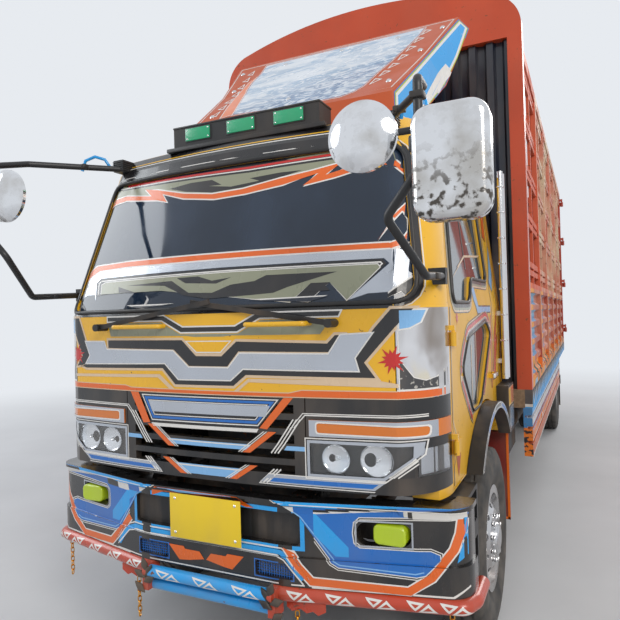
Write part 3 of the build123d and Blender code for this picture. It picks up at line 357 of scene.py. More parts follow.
def grown(outline, by):
    # the outline moved out by this much, square at its corners
    area = sum(a[0] * b[1] - b[0] * a[1] for a, b in zip(outline, outline[1:] + outline[:1]))
    turn = 1 if area > 0 else -1
    result = []
    count = len(outline)
    for index, corner in enumerate(outline):
        before = Vector(corner) - Vector(outline[index - 1])
        after = Vector(outline[(index + 1) % count]) - Vector(corner)
        before.normalize()
        after.normalize()
        outBefore = Vector((before.y, -before.x)) * turn
        outAfter = Vector((after.y, -after.x)) * turn
        middle = outBefore + outAfter
        if middle.length < 0.5:
            middle = outBefore
            reach = by
        else:
            middle.normalize()
            reach = by / max(middle.dot(outBefore), 0.45)
        result.append((corner[0] + middle.x * reach, corner[1] + middle.y * reach))
    return result


def ribbon(points, width):
    # an open line given a width
    left, right = [], []
    for index, point in enumerate(points):
        before = Vector(points[max(index - 1, 0)])
        after = Vector(points[min(index + 1, len(points) - 1)])
        here = Vector(point)
        first = (here - before).normalized() if index else (after - here).normalized()
        last = (after - here).normalized() if index < len(points) - 1 else first
        across = Vector((-(first.y + last.y), first.x + last.x)).normalized()
        reach = width / 2 / max(across.dot(Vector((-first.y, first.x))), 0.5)
        left.append((here.x + across.x * reach, here.y + across.y * reach))
        right.append((here.x - across.x * reach, here.y - across.y * reach))
    return left + right[::-1]


def flipped(outline):
    return [(-x, z) for x, z in reversed(outline)]


def rounded(outline, radius, steps=5):
    result = []
    count = len(outline)
    for index, corner in enumerate(outline):
        here = Vector(corner)
        before = (Vector(outline[index - 1]) - here)
        after = (Vector(outline[(index + 1) % count]) - here)
        reach = min(radius, before.length * 0.45, after.length * 0.45)
        a = here + before.normalized() * reach
        b = here + after.normalized() * reach
        for step in range(steps + 1):
            t = step / steps
            spot = a * (1 - t) ** 2 + here * 2 * t * (1 - t) + b * t ** 2
            result.append((spot.x, spot.y))
    return result


def star(x, z, radius, points=12, inner=0.45, squash=1.0):
    outline = []
    for index in range(points * 2):
        reach = radius * (1 if index % 2 == 0 else inner)
        if index % 4 == 2:
            reach *= 0.72
        angle = math.pi * index / points + 0.2
        outline.append((x + reach * math.cos(angle) * squash, z + reach * math.sin(angle)))
    return outline


def sideways(outline):
    return [(aft(distance), z) for distance, z in outline]


def rectangle(xLow, xHigh, zLow, zHigh):
    return [(xLow, zLow), (xHigh, zLow), (xHigh, zHigh), (xLow, zHigh)]


turns = {"front": Matrix(((1, 0, 0, 0), (0, 0, -1, 0), (0, 1, 0, 0), (0, 0, 0, 1))),
    "side": Matrix(((0, 0, 1, 0), (1, 0, 0, 0), (0, 1, 0, 0), (0, 0, 0, 1)))}


def flatCurve(name, outlines):
    return curveMesh(name, outlines, dimensions="2D", fill_mode="BOTH")


def flatSheet(name, outline, back, thickness, finish, body, offset=-1):
    sheet = flatCurve(name, [outline])
    sheet.data.transform(Matrix.Translation((0, aft(back), 0)) @ turns["front"])
    return wear(thickened(sheet, thickness, offset), finish, body)


def cutAcross(values, cuts, normal):
    # divides the mesh in edit mode wherever a cut falls between the ends of its values
    for cut in cuts:
        if min(values) + 1e-4 < cut < max(values) - 1e-4:
            selectAll()
            bpy.ops.mesh.bisect(plane_co=[n * cut for n in normal], plane_no=normal)


def separate(outlines):
    return [outlines] if isinstance(outlines[0], tuple) else outlines


def vinyl(name, outlines, onto, finish, body="cab", layer=0, side=0, rows=None, columns=None, levels=()):
    # seen from the front where side is 0, else from that side; columns, rows and levels are the cuts that
    # let the sheet bend
    global vinylCount
    vinylCount += 1
    front = side == 0
    along, through = (0, 1) if front else (1, 0)
    outward = Vector((0, -1, 0)) if front else Vector((side, 0, 0))
    shift = outward * (vinylSet["frontStart"] if front else vinylSet["sideStart"])
    piece = flatCurve(name, separate(outlines))
    piece.data.transform(Matrix.Translation(shift) @ turns["front" if front else "side"])
    values = [v.co[along] for v in piece.data.vertices]
    heights = [v.co[2] for v in piece.data.vertices]
    pick(piece)
    editMode()
    spacing = columns or (vinylSet["frontCut"] if front else vinylSet["sideCut"])
    steps = []
    value = math.floor(min(values) / spacing) * spacing
    while value < max(values):
        steps.append(value)
        if front and 0.84 < abs(value) < 1.2:
            steps += [value + spacing * part / 5 for part in (1, 2, 3, 4)]
        value += spacing
    cutAcross(values, steps, (1, 0, 0) if front else (0, 1, 0))
    cuts = list(levels)
    if rows:
        first = math.floor(min(heights) / rows)
        cuts += [rows * (first + step) for step in range(math.ceil((max(heights) - min(heights)) / rows)
            + 2)]
    cutAcross(heights, cuts, (0, 0, 1))
    selectAll()
    bpy.ops.mesh.quads_convert_to_tris()
    objectMode()
    wrap = piece.modifiers.new("lay", "SHRINKWRAP")
    wrap.wrap_method = "PROJECT"
    wrap.target = surfaces[onto]
    wrap.use_project_x = not front
    wrap.use_project_y = front
    wrap.use_project_z = False
    wrap.use_positive_direction = side < 1
    wrap.use_negative_direction = side > 0
    applyAll(piece)

    def missed(vertex):
        return abs(vertex.co[through] - shift[through]) < 1e-3
    if any(missed(vertex) for vertex in piece.data.vertices):
        chooseVertices(piece, missed)
        bpy.ops.mesh.delete(type="VERT")
        objectMode()
    piece.data.transform(Matrix.Translation(outward * (vinylSet["lift"] + vinylSet["step"] * layer)))
    if len(piece.data.polygons) == 0:
        print("vinyl missed:", name)
        bpy.data.objects.remove(piece)
        return
    total = sum((p.normal * p.area for p in piece.data.polygons), Vector())
    if total.dot(outward) < 0:
        editMode()
        selectAll()
        bpy.ops.mesh.flip_normals()
        objectMode()
    wear(thickened(piece, vinylSet["thickness"]), finish, body)


def layUp(table, onto, pattern="{}", body="cab", mirror=1, **cuts):
    # a sheet for each row of name, outlines, finish and layer
    for name, outlines, finish, layer in table:
        if mirror < 0:
            outlines = [flipped(outline) for outline in separate(outlines)]
        vinyl(pattern.format(name), outlines, onto, finish, body, layer, **cuts)


def planForm(name, radiusHalf=0.88, cornerBack=0.07, sideStart=0.33, half=1.045):
    # a smooth skin of the cab's nose, for laying sheets over the grille and lamps; taken away at the end
    radius = (radiusHalf ** 2 + cornerBack ** 2) / (2 * cornerBack)
    points = []
    for index in range(-40, 41):
        x = radiusHalf * index / 40
        points.append((x, aft(radius - math.sqrt(radius ** 2 - x ** 2))))
    cornerRadius = ((half - radiusHalf) ** 2 + (sideStart - cornerBack) ** 2) / (2 * (half - radiusHalf))
    centre = half - cornerRadius
    for step in range(1, 13):
        first = math.atan2(cornerBack - sideStart, radiusHalf - centre)
        angle = first * (1 - step / 12)
        points.append((centre + cornerRadius * math.cos(angle), aft(sideStart + cornerRadius
            * math.sin(angle))))
    points = [(-x, y) for x, y in reversed(points[-12:])] + points
    piece = curveMesh(name, [points], closed=False, dimensions="2D", fill_mode="NONE", extrude=0.5)
    piece.data.transform(Matrix.Translation((0, 0, 1.4)))
    return piece


surfaces = dict(nodes)
surfaces["nose"] = planForm("noseForm")


# Finishes of the CAD nodes
wallBays = {"length": 1.0075}


def scales():
    # painted bays of the side walls: faded rails above, blocks and arches on the corrugated sheet below
    z = axisOf(2)
    back = minus(axisOf(1), aft(2.255))
    bay = wallBays["length"]
    inBay = times(fraction(divided(back, bay)), bay)
    firstBay = below(back, bay)
    rib = fraction(divided(minus(z, 1.27), 0.13))
    tooth = magnitude(minus(rib, 0.5))
    worn = between(noise(1.7, 5.0), 0.36, 0.66)
    rails = blend(worn, (0.62, 0.17, 0.1), paints["cream"])
    rails = blend(firstBay, rails, (0.64, 0.105, 0.04))
    flash = times(below(inBay, 0.16), below(z, 2.14))
    rails = blend(flash, rails, paints["orange"])
    low = blend(worn, (0.4, 0.06, 0.03), (0.58, 0.22, 0.14))
    edge = below(inBay, plus(0.2, times(tooth, 0.26)))
    low = blend(edge, low, (0.8, 0.3, 0.025))
    block = over(inBay, plus(0.13, times(tooth, 0.22)))
    block = times(block, below(inBay, minus(0.66, times(tooth, 0.2))))
    block = times(block, below(tooth, 0.34))
    # the blue blocks run from dark at the foot of each rib to pale at its top: painted shade and painted
    # highlight across the corrugation
    litAndShadedBlue = blend(between(rib, 0.2, 0.75), (0.055, 0.2, 0.42), (0.28, 0.5, 0.68))
    low = blend(times(block, blocksShow(firstBay)), low, litAndShadedBlue)
    for middle, radius in ((0.55, 0.15), (0.86, 0.13)):
        across = minus(inBay, middle)
        above = minus(z, 1.275)
        square = plus(times(across, across), times(above, above))
        reach = root(square)
        low = blend(below(reach, radius), low, (0.74, 0.17, 0.02))
        low = blend(below(reach, radius * 0.72), low, (0.8, 0.36, 0.04))
        low = blend(below(reach, radius * 0.42), low, (0.02, 0.02, 0.03))
    colour = blend(over(z, 1.93), low, rails)
    depth = magnitude(axisOf(0))
    return blend(below(depth, 1.186), colour, paints["brick"])


def blocksShow(firstBay):
    # the blocks are fresh in the first bay and worn away further back
    worn = between(noise(5.0, 7.0), 0.4, 0.58, 0.25, 0.85)
    return most(firstBay, worn)


def floorEdges():
    # timber floor with a blue and white saw-tooth painted on its edge rails
    grain = noise(6.0, 6.0, stretch=(8.0, 0.6, 8.0))
    boards = blend(between(grain, 0.35, 0.7), (0.17, 0.095, 0.045), (0.27, 0.165, 0.085))
    tooth = magnitude(minus(fraction(divided(axisOf(1), 0.15)), 0.5))
    ridge = plus(1.092, times(tooth, 0.19))
    gap = minus(axisOf(2), ridge)
    paint = blend(below(gap, 0.0), (0.035, 0.04, 0.055), paints["skyBlue"])
    line = below(magnitude(gap), 0.01)
    paint = blend(line, paint, paints["white"])
    return blend(over(magnitude(axisOf(0)), 1.1735), boards, paint)


def guardStripes():
    z = axisOf(2)
    colour = blend(over(z, 0.84), (0.52, 0.13, 0.06), (0.7, 0.2, 0.055))
    colour = blend(over(z, 0.94), colour, (0.62, 0.6, 0.6))
    colour = blend(over(z, 1.02), colour, paints["skyBlue"])
    for low, high, tone in ((0.74, 0.752, paints["white"]), (0.818, 0.83, paints["orange"]),
            (0.85, 0.858, paints["white"]), (0.922, 0.93, paints["skyBlue"]), (0.95, 0.958,
            paints["deepBlue"]), (1.03, 1.038, paints["white"])):
        colour = blend(inside((None, None, low), (None, None, high)), colour, tone)
    front = below(axisOf(1), aft(2.1562))
    blots = between(noise(30.0, 6.0), 0.5, 0.53)
    face = blend(blots, (0.78, 0.19, 0.015), (0.02, 0.018, 0.02))
    face = blend(over(z, 0.94), face, (0.05, 0.2, 0.42))
    return blend(front, colour, face)


def pipeColours():
    x = magnitude(axisOf(0))
    return blend(below(x, 0.322), (0.5, 0.045, 0.012), paints["skyBlue"])


def tyreFinish():
    material, shader = startFinish("tyreRubber")
    dusty = between(noise(9.0, 8.0), 0.3, 0.75)
    colour = blend(dusty, (0.02, 0.019, 0.018), (0.13, 0.115, 0.1))
    feed(shader.inputs["Base Color"], colour)
    feed(shader.inputs["Roughness"], between(dusty, 0.0, 1.0, 0.62, 0.92))
    bumpFrom(shader, noise(120.0, 5.0), 0.35, 0.002)
    finishes["tyre"] = material


def glassFinish(key, tint, roughness, solid):
    # dark film glass: a tinted gloss skin over a see-through body
    material, shader = startFinish(key)
    smear = between(noise(3.0, 7.0, stretch=(1.0, 1.0, 0.4)), 0.35, 0.75)
    colour = blend(smear, tint, tuple(c * 1.7 + 0.01 for c in tint))
    feed(shader.inputs["Base Color"], colour)
    feed(shader.inputs["Roughness"], between(smear, 0.0, 1.0, roughness, roughness + 0.07))
    shader.inputs["Transmission Weight"].default_value = 1 - solid
    shader.inputs["IOR"].default_value = 1.45
    shader.inputs["Coat Weight"].default_value = 0.3
    bumpFrom(shader, noise(2.0, 2.0), 0.03, 0.002)
    finishes[key] = material


makeFinish("bodyRed", paints["brick"], roughness=0.42, mottle=0.3, dirt=0.3, dirtTop=2.5, chips=0.4,
    coat=0.2)
makeFinish("frameOrange", (0.52, 0.06, 0.012), roughness=0.4, mottle=0.25, dirt=0.22, chips=0.3, coat=0.2)
makeFinish("wallNavy", (0.01, 0.014, 0.026), roughness=0.33, dirt=0.45, dirtTop=4.5, coat=0.3)
makeFinish("sidePaint", scales, roughness=0.62, mottle=0.35, dirt=0.35, dirtTop=3.0, chips=0.6)
makeFinish("guardPaint", guardStripes, roughness=0.42, mottle=0.3, dirt=0.45, chips=0.6)
makeFinish("cabYellow", paints["yellow"], roughness=0.3, dirt=0.2, dirtTop=1.6, coat=0.4, chips=0.15,
    grain=0.06, grainScale=80.0, zones=[((-0.905, aft(0.42), 0.9), (0.905, aft(1.93), 2.62),
    (0.1, 0.1, 0.095)), ((-0.9, None, 0.0), (0.9, None, 1.36), (0.012, 0.012, 0.013))])
# the doors wear a darker copy of the cab's yellow: painted shade
makeFinish("doorYellow", (0.74, 0.4, 0.018), roughness=0.42, dirt=0.25, dirtTop=1.5, coat=0.12, chips=0.15,
    grain=0.06, zones=[((-1.028, None, 0.9), (1.028, None, 1.8), (0.1, 0.1, 0.095))])


def foilPaintedReflections():
    # polished foil with painted reflections: broad warm and dark bands laid into its colour
    band = noise(3.4, 3.0, stretch=(1.0, 1.0, 0.6), distortion=0.8)
    colour = blend(between(band, 0.38, 0.6), (0.34, 0.3, 0.27), (0.78, 0.78, 0.8))
    return blend(between(band, 0.6, 0.7), colour, (0.86, 0.8, 0.66))


makeFinish("cornerFoil", foilPaintedReflections, roughness=0.14, metal=0.85, dirt=0.3, dirtTop=2.0, mottle=0.3)
makeFinish("speckle", (0.045, 0.045, 0.048), roughness=0.35, dirt=0.5, dirtTop=2.4, chips=1.2,
    chipColour=(0.42, 0.4, 0.36), coat=0.3)
makeFinish("grilleBlack", (0.008, 0.008, 0.009), roughness=0.3, dirt=0.3, dirtTop=2.2, coat=0.3)
makeFinish("bumperBlack", (0.007, 0.007, 0.008), roughness=0.26, dirt=0.35, dirtTop=1.0, coat=0.5)
makeFinish("chassisBlack", (0.016, 0.015, 0.015), roughness=0.62, dirt=0.85, dirtTop=1.6, chips=0.8,
    grain=0.3, grainScale=140.0, grainDepth=0.0015)
makeFinish("castMetal", (0.035, 0.033, 0.032), roughness=0.65, metal=0.4, dirt=0.9, dirtTop=1.5, chips=0.9,
    grain=0.6, grainScale=160.0, grainDepth=0.002)
makeFinish("springSteel", (0.05, 0.045, 0.04), roughness=0.6, metal=0.6, dirt=0.8, chips=1.0, grain=0.3,
    grainScale=90.0)
makeFinish("tankPaint", (0.3, 0.31, 0.32), roughness=0.4, metal=0.5, dirt=0.7, dirtTop=1.3, chips=0.3)
makeFinish("timber", floorEdges, roughness=0.75, mottle=0.6, mottleScale=6.0, dirt=0.6, dirtTop=3.0,
    grain=0.5, grainScale=40.0, grainDepth=0.002)
makeFinish("interior", (0.075, 0.075, 0.078), roughness=0.6, dirt=0.35, dirtTop=3.0, grain=0.4,
    grainScale=500.0)
makeFinish("flapRed", (0.2, 0.016, 0.01), roughness=0.55, dirt=0.95, dirtTop=1.1, mottle=0.3,
    zones=[((None, aft(6.0), 0.0), (None, None, 2.0), (0.014, 0.014, 0.014))])
makeFinish("pipePaint", pipeColours, roughness=0.3, dirt=0.35, dirtTop=1.0, coat=0.4, chips=0.2)
glassFinish("clearGlass", (0.9, 0.92, 0.94), 0.01, 0.0)
glassFinish("screenGlass", (0.01, 0.022, 0.045), 0.03, 0.8)
glassFinish("doorGlass", (0.1, 0.13, 0.15), 0.03, 0.55)
makeFinish("amberLens", (0.78, 0.2, 0.01), roughness=0.12, dirt=0.2, coat=0.5, grain=0.5, grainScale=300.0,
    transmission=0.15)
makeFinish("greenLens", (0.006, 0.3, 0.13), roughness=0.12, dirt=0.15, dirtTop=4, coat=0.5, grain=0.7,
    grainScale=260.0, grainDepth=0.002, emission=(0.0, 0.5, 0.2))
makeFinish("limeLens", (0.42, 0.55, 0.01), roughness=0.1, dirt=0.2, coat=0.5, grain=0.5, grainScale=240.0,
    grainDepth=0.002, emission=(0.35, 0.5, 0.0))
makeFinish("redLens", (0.45, 0.008, 0.006), roughness=0.12, dirt=0.3, coat=0.5, grain=0.5)
makeFinish("plateYellow", (0.86, 0.6, 0.02), roughness=0.35, dirt=0.35, dirtTop=1.3)
makeFinish("wheelChrome", (0.6, 0.6, 0.61), roughness=0.16, metal=1.0, dirt=0.5, dirtTop=1.3, mottle=0.2,
    chips=0.3)
makeFinish("wheelSteel", (0.33, 0.33, 0.34), roughness=0.45, metal=0.5, dirt=0.8, dirtTop=1.4, chips=0.6)
tyreFinish()
makeFinish("cloth", (0.11, 0.045, 0.035), title="seatCloth", roughness=0.9, dirt=0.3, dirtTop=3.0,
    mottle=0.4, grain=0.7, grainScale=700.0, grainDepth=0.0012)
makeFinish("gold", (0.8, 0.36, 0.03), title="goldChain", roughness=0.25, metal=0.9, dirt=0.25)
makeFinish("mirrorGlass", (0.75, 0.77, 0.8), roughness=0.03, metal=1.0, dirt=0.15, dirtTop=4.0, grain=0.0)


def pictureColours():
    # drifting cloud over water: a plain pattern of soft bands
    cloud = noise(3.2, 8.0, stretch=(0.8, 1.4, 3.0), distortion=1.6)
    curl = noise(7.5, 9.0, stretch=(1.0, 0.6, 2.6), distortion=2.4)
    colour = blend(between(cloud, 0.36, 0.62), (0.3, 0.44, 0.6), (0.72, 0.77, 0.82))
    colour = blend(between(curl, 0.52, 0.66), colour, (0.8, 0.83, 0.86))
    depth = plus(axisOf(2), times(axisOf(0), -0.35))
    water = times(between(depth, 3.42, 3.12), between(curl, 0.38, 0.58, 1.0, 0.15))
    colour = blend(water, colour, (0.035, 0.13, 0.3))
    foam = times(between(noise(16.0, 9.0, stretch=(1.0, 0.5, 3.5)), 0.56, 0.66), water)
    return blend(foam, colour, (0.66, 0.76, 0.84))


makeFinish("skyPicture", pictureColours, roughness=0.3, dirt=0.15, dirtTop=4.5, coat=0.35)
makeFinish("hotOrange", (0.82, 0.16, 0.01), roughness=0.3, dirt=0.15, dirtTop=4.5, coat=0.3)
makeFinish("limeEdge", (0.4, 0.5, 0.03), roughness=0.32, dirt=0.2, dirtTop=4.5)
makeFinish("deflectorOrange", (0.5, 0.075, 0.008), roughness=0.48, dirt=0.2, dirtTop=4.5, coat=0.05)

nodeFinishes = {
    "chassis_frame": "chassisBlack", "leaf_springs": "springSteel", "front_axle_beam": "castMetal",
    "rear_axle": "castMetal", "engine_block": "castMetal", "propshaft": "chassisBlack",
    "exhaust": "springSteel", "fuel_tank": "tankPaint", "battery_box": "chassisBlack",
    "front_bumper": "bumperBlack", "bumper_pipes": "pipePaint", "cab_steps": "blackPlastic",
    "mudflaps": "flapRed", "side_guards": "guardPaint", "cargo_floor": "timber", "front_wall": "wallNavy",
    "front_frame": "frameOrange", "side_walls": "sidePaint", "tail_frame": "bodyRed",
    "tail_bumper": "chassisBlack", "radiator": "castMetal", "fog_lamps": "limeLens",
    "cab_body": "cabYellow", "windscreen": "screenGlass", "front_panel": "cabYellow",
    "corner_panels": "cornerFoil", "grille": "grilleBlack", "headlamps": "grilleBlack",
    "arch_flares": "blackPlastic", "dashboard": "interior", "wipers": "blackPlastic",
    "roof_light_box": "blackPlastic", "wind_deflector": "deflectorOrange", "mirrors": "wornChrome",
    "corner_vanes": "chrome", "lamp_glasses": "clearGlass", "indicators": "amberLens",
    "cab_door_left": "doorYellow", "cab_door_right": "doorYellow", "door_glass_left": "doorGlass",
    "door_glass_right": "doorGlass", "steering_wheel": "blackPlastic", "knuckle_left": "castMetal",
    "knuckle_right": "castMetal", "tie_rod": "castMetal", "front_wheel_left": "wheelChrome",
    "front_wheel_right": "wheelChrome", "rear_wheels_left": "wheelSteel", "rear_wheels_right": "wheelSteel",
    "front_tyre_left": "tyre", "front_tyre_right": "tyre", "rear_tyres_left": "tyre",
    "rear_tyres_right": "tyre", "tail_door_left": "bodyRed", "tail_door_right": "bodyRed", "seats": "cloth",
}
for nodeName, finishName in nodeFinishes.items():
    node = nodes[nodeName]
    if not node.material_slots:
        node.data.materials.append(finishes[finishName])
    for slot in node.material_slots:
        slot.material = finishes[finishName]
print("CAD nodes finished:", len(nodeFinishes), "of", len(nodes))


# Stripes on the windscreen
screen = {
    "topBand": mm(-880, 2440, -860, 2560, 860, 2560, 900, 2400, 831, 2464, 768, 2479, 641, 2459, 583, 2482,
        442, 2458, 283, 2438, 82, 2407, -99, 2402, -288, 2429, -485, 2476, -586, 2496, -521, 2446,
        -731, 2475, -825, 2467),
    "swoop": mm(-398, 2471, -254, 2484, -117, 2482, -51, 2447, -132, 2450, 9, 2429, 168, 2440, 112, 2460,
        277, 2469, 388, 2467, 282, 2444, 80, 2416, -101, 2411, -274, 2438),
    "header": mm(-860, 2560, -780, 2515, 100, 2492, 620, 2505, 800, 2530, 860, 2560),
    "bolt": mm(-875, 2420, -825, 2467, -731, 2475, -521, 2446, -586, 2496, -485, 2476, -288, 2429,
        -99, 2402, 82, 2407, 283, 2438, 442, 2458, 583, 2482, 510, 2429, 641, 2459, 768, 2479, 831, 2464,
        885, 2415, 885, 2385, 829, 2439, 766, 2453, 665, 2437, 558, 2411, 405, 2387, 476, 2442, 301, 2403,
        100, 2380, -78, 2374, -281, 2402, -442, 2448, -396, 2397, -467, 2416, -721, 2448, -790, 2441),
    "lowBand": mm(-930, 2020, -828, 2077, -589, 2085, -258, 2086, 281, 2084, 855, 2080, 903, 2077,
        874, 2057, 285, 2060, -250, 2059, -580, 2059, -797, 2051, -930, 1985),
    "silver": mm(-940, 2020, -797, 2047, -250, 2055, 285, 2056, 874, 2053, 930, 2030, 940, 1940, 790, 1820,
        660, 1820, 845, 1990, 820, 2013, 43, 2016, -766, 2007, -795, 1985, -745, 1820, -950, 1820),
    "frame": mm(-788, 1985, -760, 2004, 44, 2012, 812, 2010, 833, 1990, 660, 1810, -735, 1810),
    "panel": mm(-745, 1970, -722, 1981, 48, 1990, 795, 1988, 806, 1975, 655, 1815, -700, 1815),
    "flames": [mm(-606, 1954, -463, 1917, -594, 1923), mm(-544, 1957, -240, 1966, -122, 1903, 16, 1897,
        112, 1931, 234, 1942, 289, 1966, 623, 1965, 488, 1930, 403, 1907, 338, 1884,
        221, 1878, -5, 1870, -148, 1892, -280, 1944), mm(470, 1880, 580, 1905, 600, 1885),
        mm(-210, 1978, -84, 1980, 3, 1955, 106, 1966, 30, 1940, -150, 1950)],
    "step": mm(-649, 1849, -193, 1849, -120, 1812, 134, 1812, 220, 1853, 712, 1861, 680, 1830, 237, 1826,
        150, 1800, -150, 1800, -220, 1826, -660, 1828),
    "diagonal": mm(800, 1820, 880, 1820, 970, 1905, 970, 1955),
}
loop = mm(840, 2066, 895, 2085, 918, 2130, 912, 2190, 885, 2235)
spark = mm(900, 2275, 905, 2225, 873, 2222, 782, 2092, 832, 2166, 850, 2190, 838, 2196)
layUp([
    ("top_band", screen["topBand"], "khaki", 0), ("header", screen["header"], "black", 1),
    ("header_line", ribbon(mm(-800, 2527, 100, 2506, 620, 2519), 0.006), "white", 2),
    ("header_red", ribbon(mm(-740, 2536, 100, 2518, 580, 2530), 0.012), "red", 2),
    ("swoop", screen["swoop"], "black", 1), ("bolt_edge", grown(screen["bolt"], 0.007), "white", 1),
    ("bolt", screen["bolt"], "orange", 2), ("low_edge", grown(screen["lowBand"], 0.007), "white", 1),
    ("low_band", screen["lowBand"], "orange", 2), ("silver", screen["silver"], "silver", 0),
    ("loop_edge", ribbon(loop, 0.036), "white", 3), ("loop", ribbon(loop, 0.024), "orange", 4),
    ("spark_edge", grown(spark, 0.006), "white", 3), ("spark", spark, "orange", 4),
    ("frame", screen["frame"], "black", 1), ("frame_line", grown(screen["frame"], -0.01), "white", 2),
    ("frame_inner", grown(screen["frame"], -0.016), "black", 3),
    ("panel_line", grown(screen["panel"], 0.004), "white", 4), ("panel", screen["panel"], "khaki", 5),
    ("flames", screen["flames"], "black", 6), ("step_edge", grown(screen["step"], 0.006), "white", 6),
    ("step", screen["step"], "navy", 7), ("diagonal_edge", grown(screen["diagonal"], 0.008), "white", 1),
    ("diagonal", screen["diagonal"], "black", 2),
    ("diagonal_left", flipped(screen["diagonal"]), "black", 2),
], "windscreen", "screen_{}", rows=vinylSet["rowCut"])
print("windscreen striped")

# Stripes on the front panel
nosePanel = {
    "topStep": mm(-620, 1795, -239, 1795, -125, 1739, 165, 1739, 279, 1795, 660, 1795, 650, 1776, 290, 1776,
        175, 1718, -135, 1718, -250, 1776, -620, 1776),
    "blackA": mm(-620, 1680, -130, 1680, -50, 1606, 90, 1606, 170, 1672, 600, 1660, 635, 1695, 665, 1695,
        610, 1624, 180, 1628, 120, 1560, -90, 1560, -180, 1636, -620, 1641),
    "silver": mm(-800, 1672, -650, 1672, -635, 1632, -185, 1628, -95, 1552, 125, 1552, 185, 1618, 605, 1614,
        660, 1695, 790, 1700, 715, 1600, 730, 1546, 200, 1552, 135, 1500, -155, 1498, -235, 1572,
        -800, 1560, -765, 1600),
    "blackB": mm(-830, 1545, -800, 1556, -235, 1568, -155, 1494, 135, 1496, 200, 1548, 725, 1542, 710, 1600,
        800, 1720, 870, 1797, 950, 1797, 755, 1580, 800, 1517, 215, 1524, 150, 1474, -175, 1472, -250, 1547,
        -800, 1537),
    "chevron": mm(-800, 1556, -765, 1600, -800, 1672, -855, 1797, -930, 1797, -830, 1600, -875, 1545),
    "cream": mm(-950, 1502, -270, 1518, -177, 1448, 151, 1450, 226, 1507, 800, 1508, 940, 1484, 940, 1476,
        228, 1492, 161, 1440, -195, 1438, -283, 1502, -950, 1488),
    "dip": mm(-100, 1672, 135, 1672, 85, 1626, -45, 1626),
    "orange": mm(-1030, 1456, -500, 1456, -460, 1447, 420, 1447, 480, 1460, 1030, 1460,
        1030, 1433, -1030, 1433),
    "field": mm(-620, 1765, -255, 1765, -140, 1708, 180, 1708, 295, 1765, 620, 1765, 570, 1700, 140, 1700,
        100, 1695, -60, 1695, -100, 1700, -600, 1700),
}
layUp([
    ("field", nosePanel["field"], "khaki", 0), ("top_edge", grown(nosePanel["topStep"], 0.007), "white", 1),
    ("top_step", nosePanel["topStep"], "black", 2),
    ("a_edge", grown(nosePanel["blackA"], 0.012), "cream", 0), ("a", nosePanel["blackA"], "black", 2),
    ("silver_edge", grown(nosePanel["silver"], 0.006), "white", 3),
    ("silver", nosePanel["silver"], "silver", 4), ("b_edge", grown(nosePanel["blackB"], 0.012), "cream", 0),
    ("b", nosePanel["blackB"], "black", 2),
    ("chevron_edge", grown(nosePanel["chevron"], 0.012), "cream", 0),
    ("chevron", nosePanel["chevron"], "black", 2), ("cream", nosePanel["cream"], "cream", 1),
    ("dip_edge", grown(nosePanel["dip"], 0.006), "white", 3), ("dip", nosePanel["dip"], "yellow", 4),
    ("orange_edge", grown(nosePanel["orange"], 0.004), "cream", 0),
    ("orange", nosePanel["orange"], "orange", 2), ("star_right", star(0.87, 1.59, 0.062), "red", 2),
    ("star_left", star(-0.87, 1.605, 0.06), "red", 3),
], "nose", "panel_{}")
print("front panel striped")

# Grille, lamps and badge panel
badge = mm(-400, 1425, 385, 1425, 272, 1294, -330, 1290)
layUp([
    ("plate", badge, "black", 2), ("white", [grown(badge, -0.006), grown(badge, -0.011)], "white", 3),
    ("blue", [grown(badge, -0.016), grown(badge, -0.028)], "deepBlue", 3),
    ("line", [grown(badge, -0.032), grown(badge, -0.036)], "white", 3),
    ("pale", mm(-345, 1388, 330, 1390, 305, 1342, -322, 1338), "silver", 4),
    ("orange_left", mm(-465, 1428, -412, 1428, -338, 1284, -382, 1280), "orange", 3),
    ("orange_right", mm(440, 1428, 396, 1428, 276, 1292, 313, 1288), "orange", 3),
    ("foot", mm(-330, 1284, 272, 1288, 262, 1272, -318, 1268), "white", 3),
], "nose", "badge_{}")

upperSlash = mm(357, 1278, 318, 1278, 189, 1181, 227, 1181)
lowerSlash = mm(262, 1126, 226, 1126, 118, 1058, 156, 1058)
for name, shape in (("slash_upper", upperSlash), ("slash_lower", lowerSlash)):
    for side, tag in viewerSides:
        outline = shape if side > 0 else flipped(shape)
        vinyl(f"{name}_{tag}", outline, "nose", "orange", layer=3)
        start, end = outline[1], outline[2]
        for number, shift in enumerate((0.004, 0.018)):
            thin = [start, (start[0] - side * 0.007, start[1]), (end[0] - side * 0.007, end[1]), end]
            vinyl(f"{name}_line{number}_{tag}", [(x - side * shift, z) for x, z in thin], "nose", "white",
                layer=3)
layUp([
    ("upper", mm(-235, 1217, 232, 1217, 212, 1192, -215, 1192), "paleBlue", 1),
    ("upper_edge", mm(-232, 1214, 228, 1214, 226, 1209, -230, 1209), "white", 2),
    ("lower", mm(-185, 1106, 182, 1106, 135, 1062, -140, 1062), "paleBlue", 1),
    ("lower_edge", mm(-180, 1102, 178, 1102, 172, 1096, -174, 1096), "white", 2),
], "nose", "bar_{}")

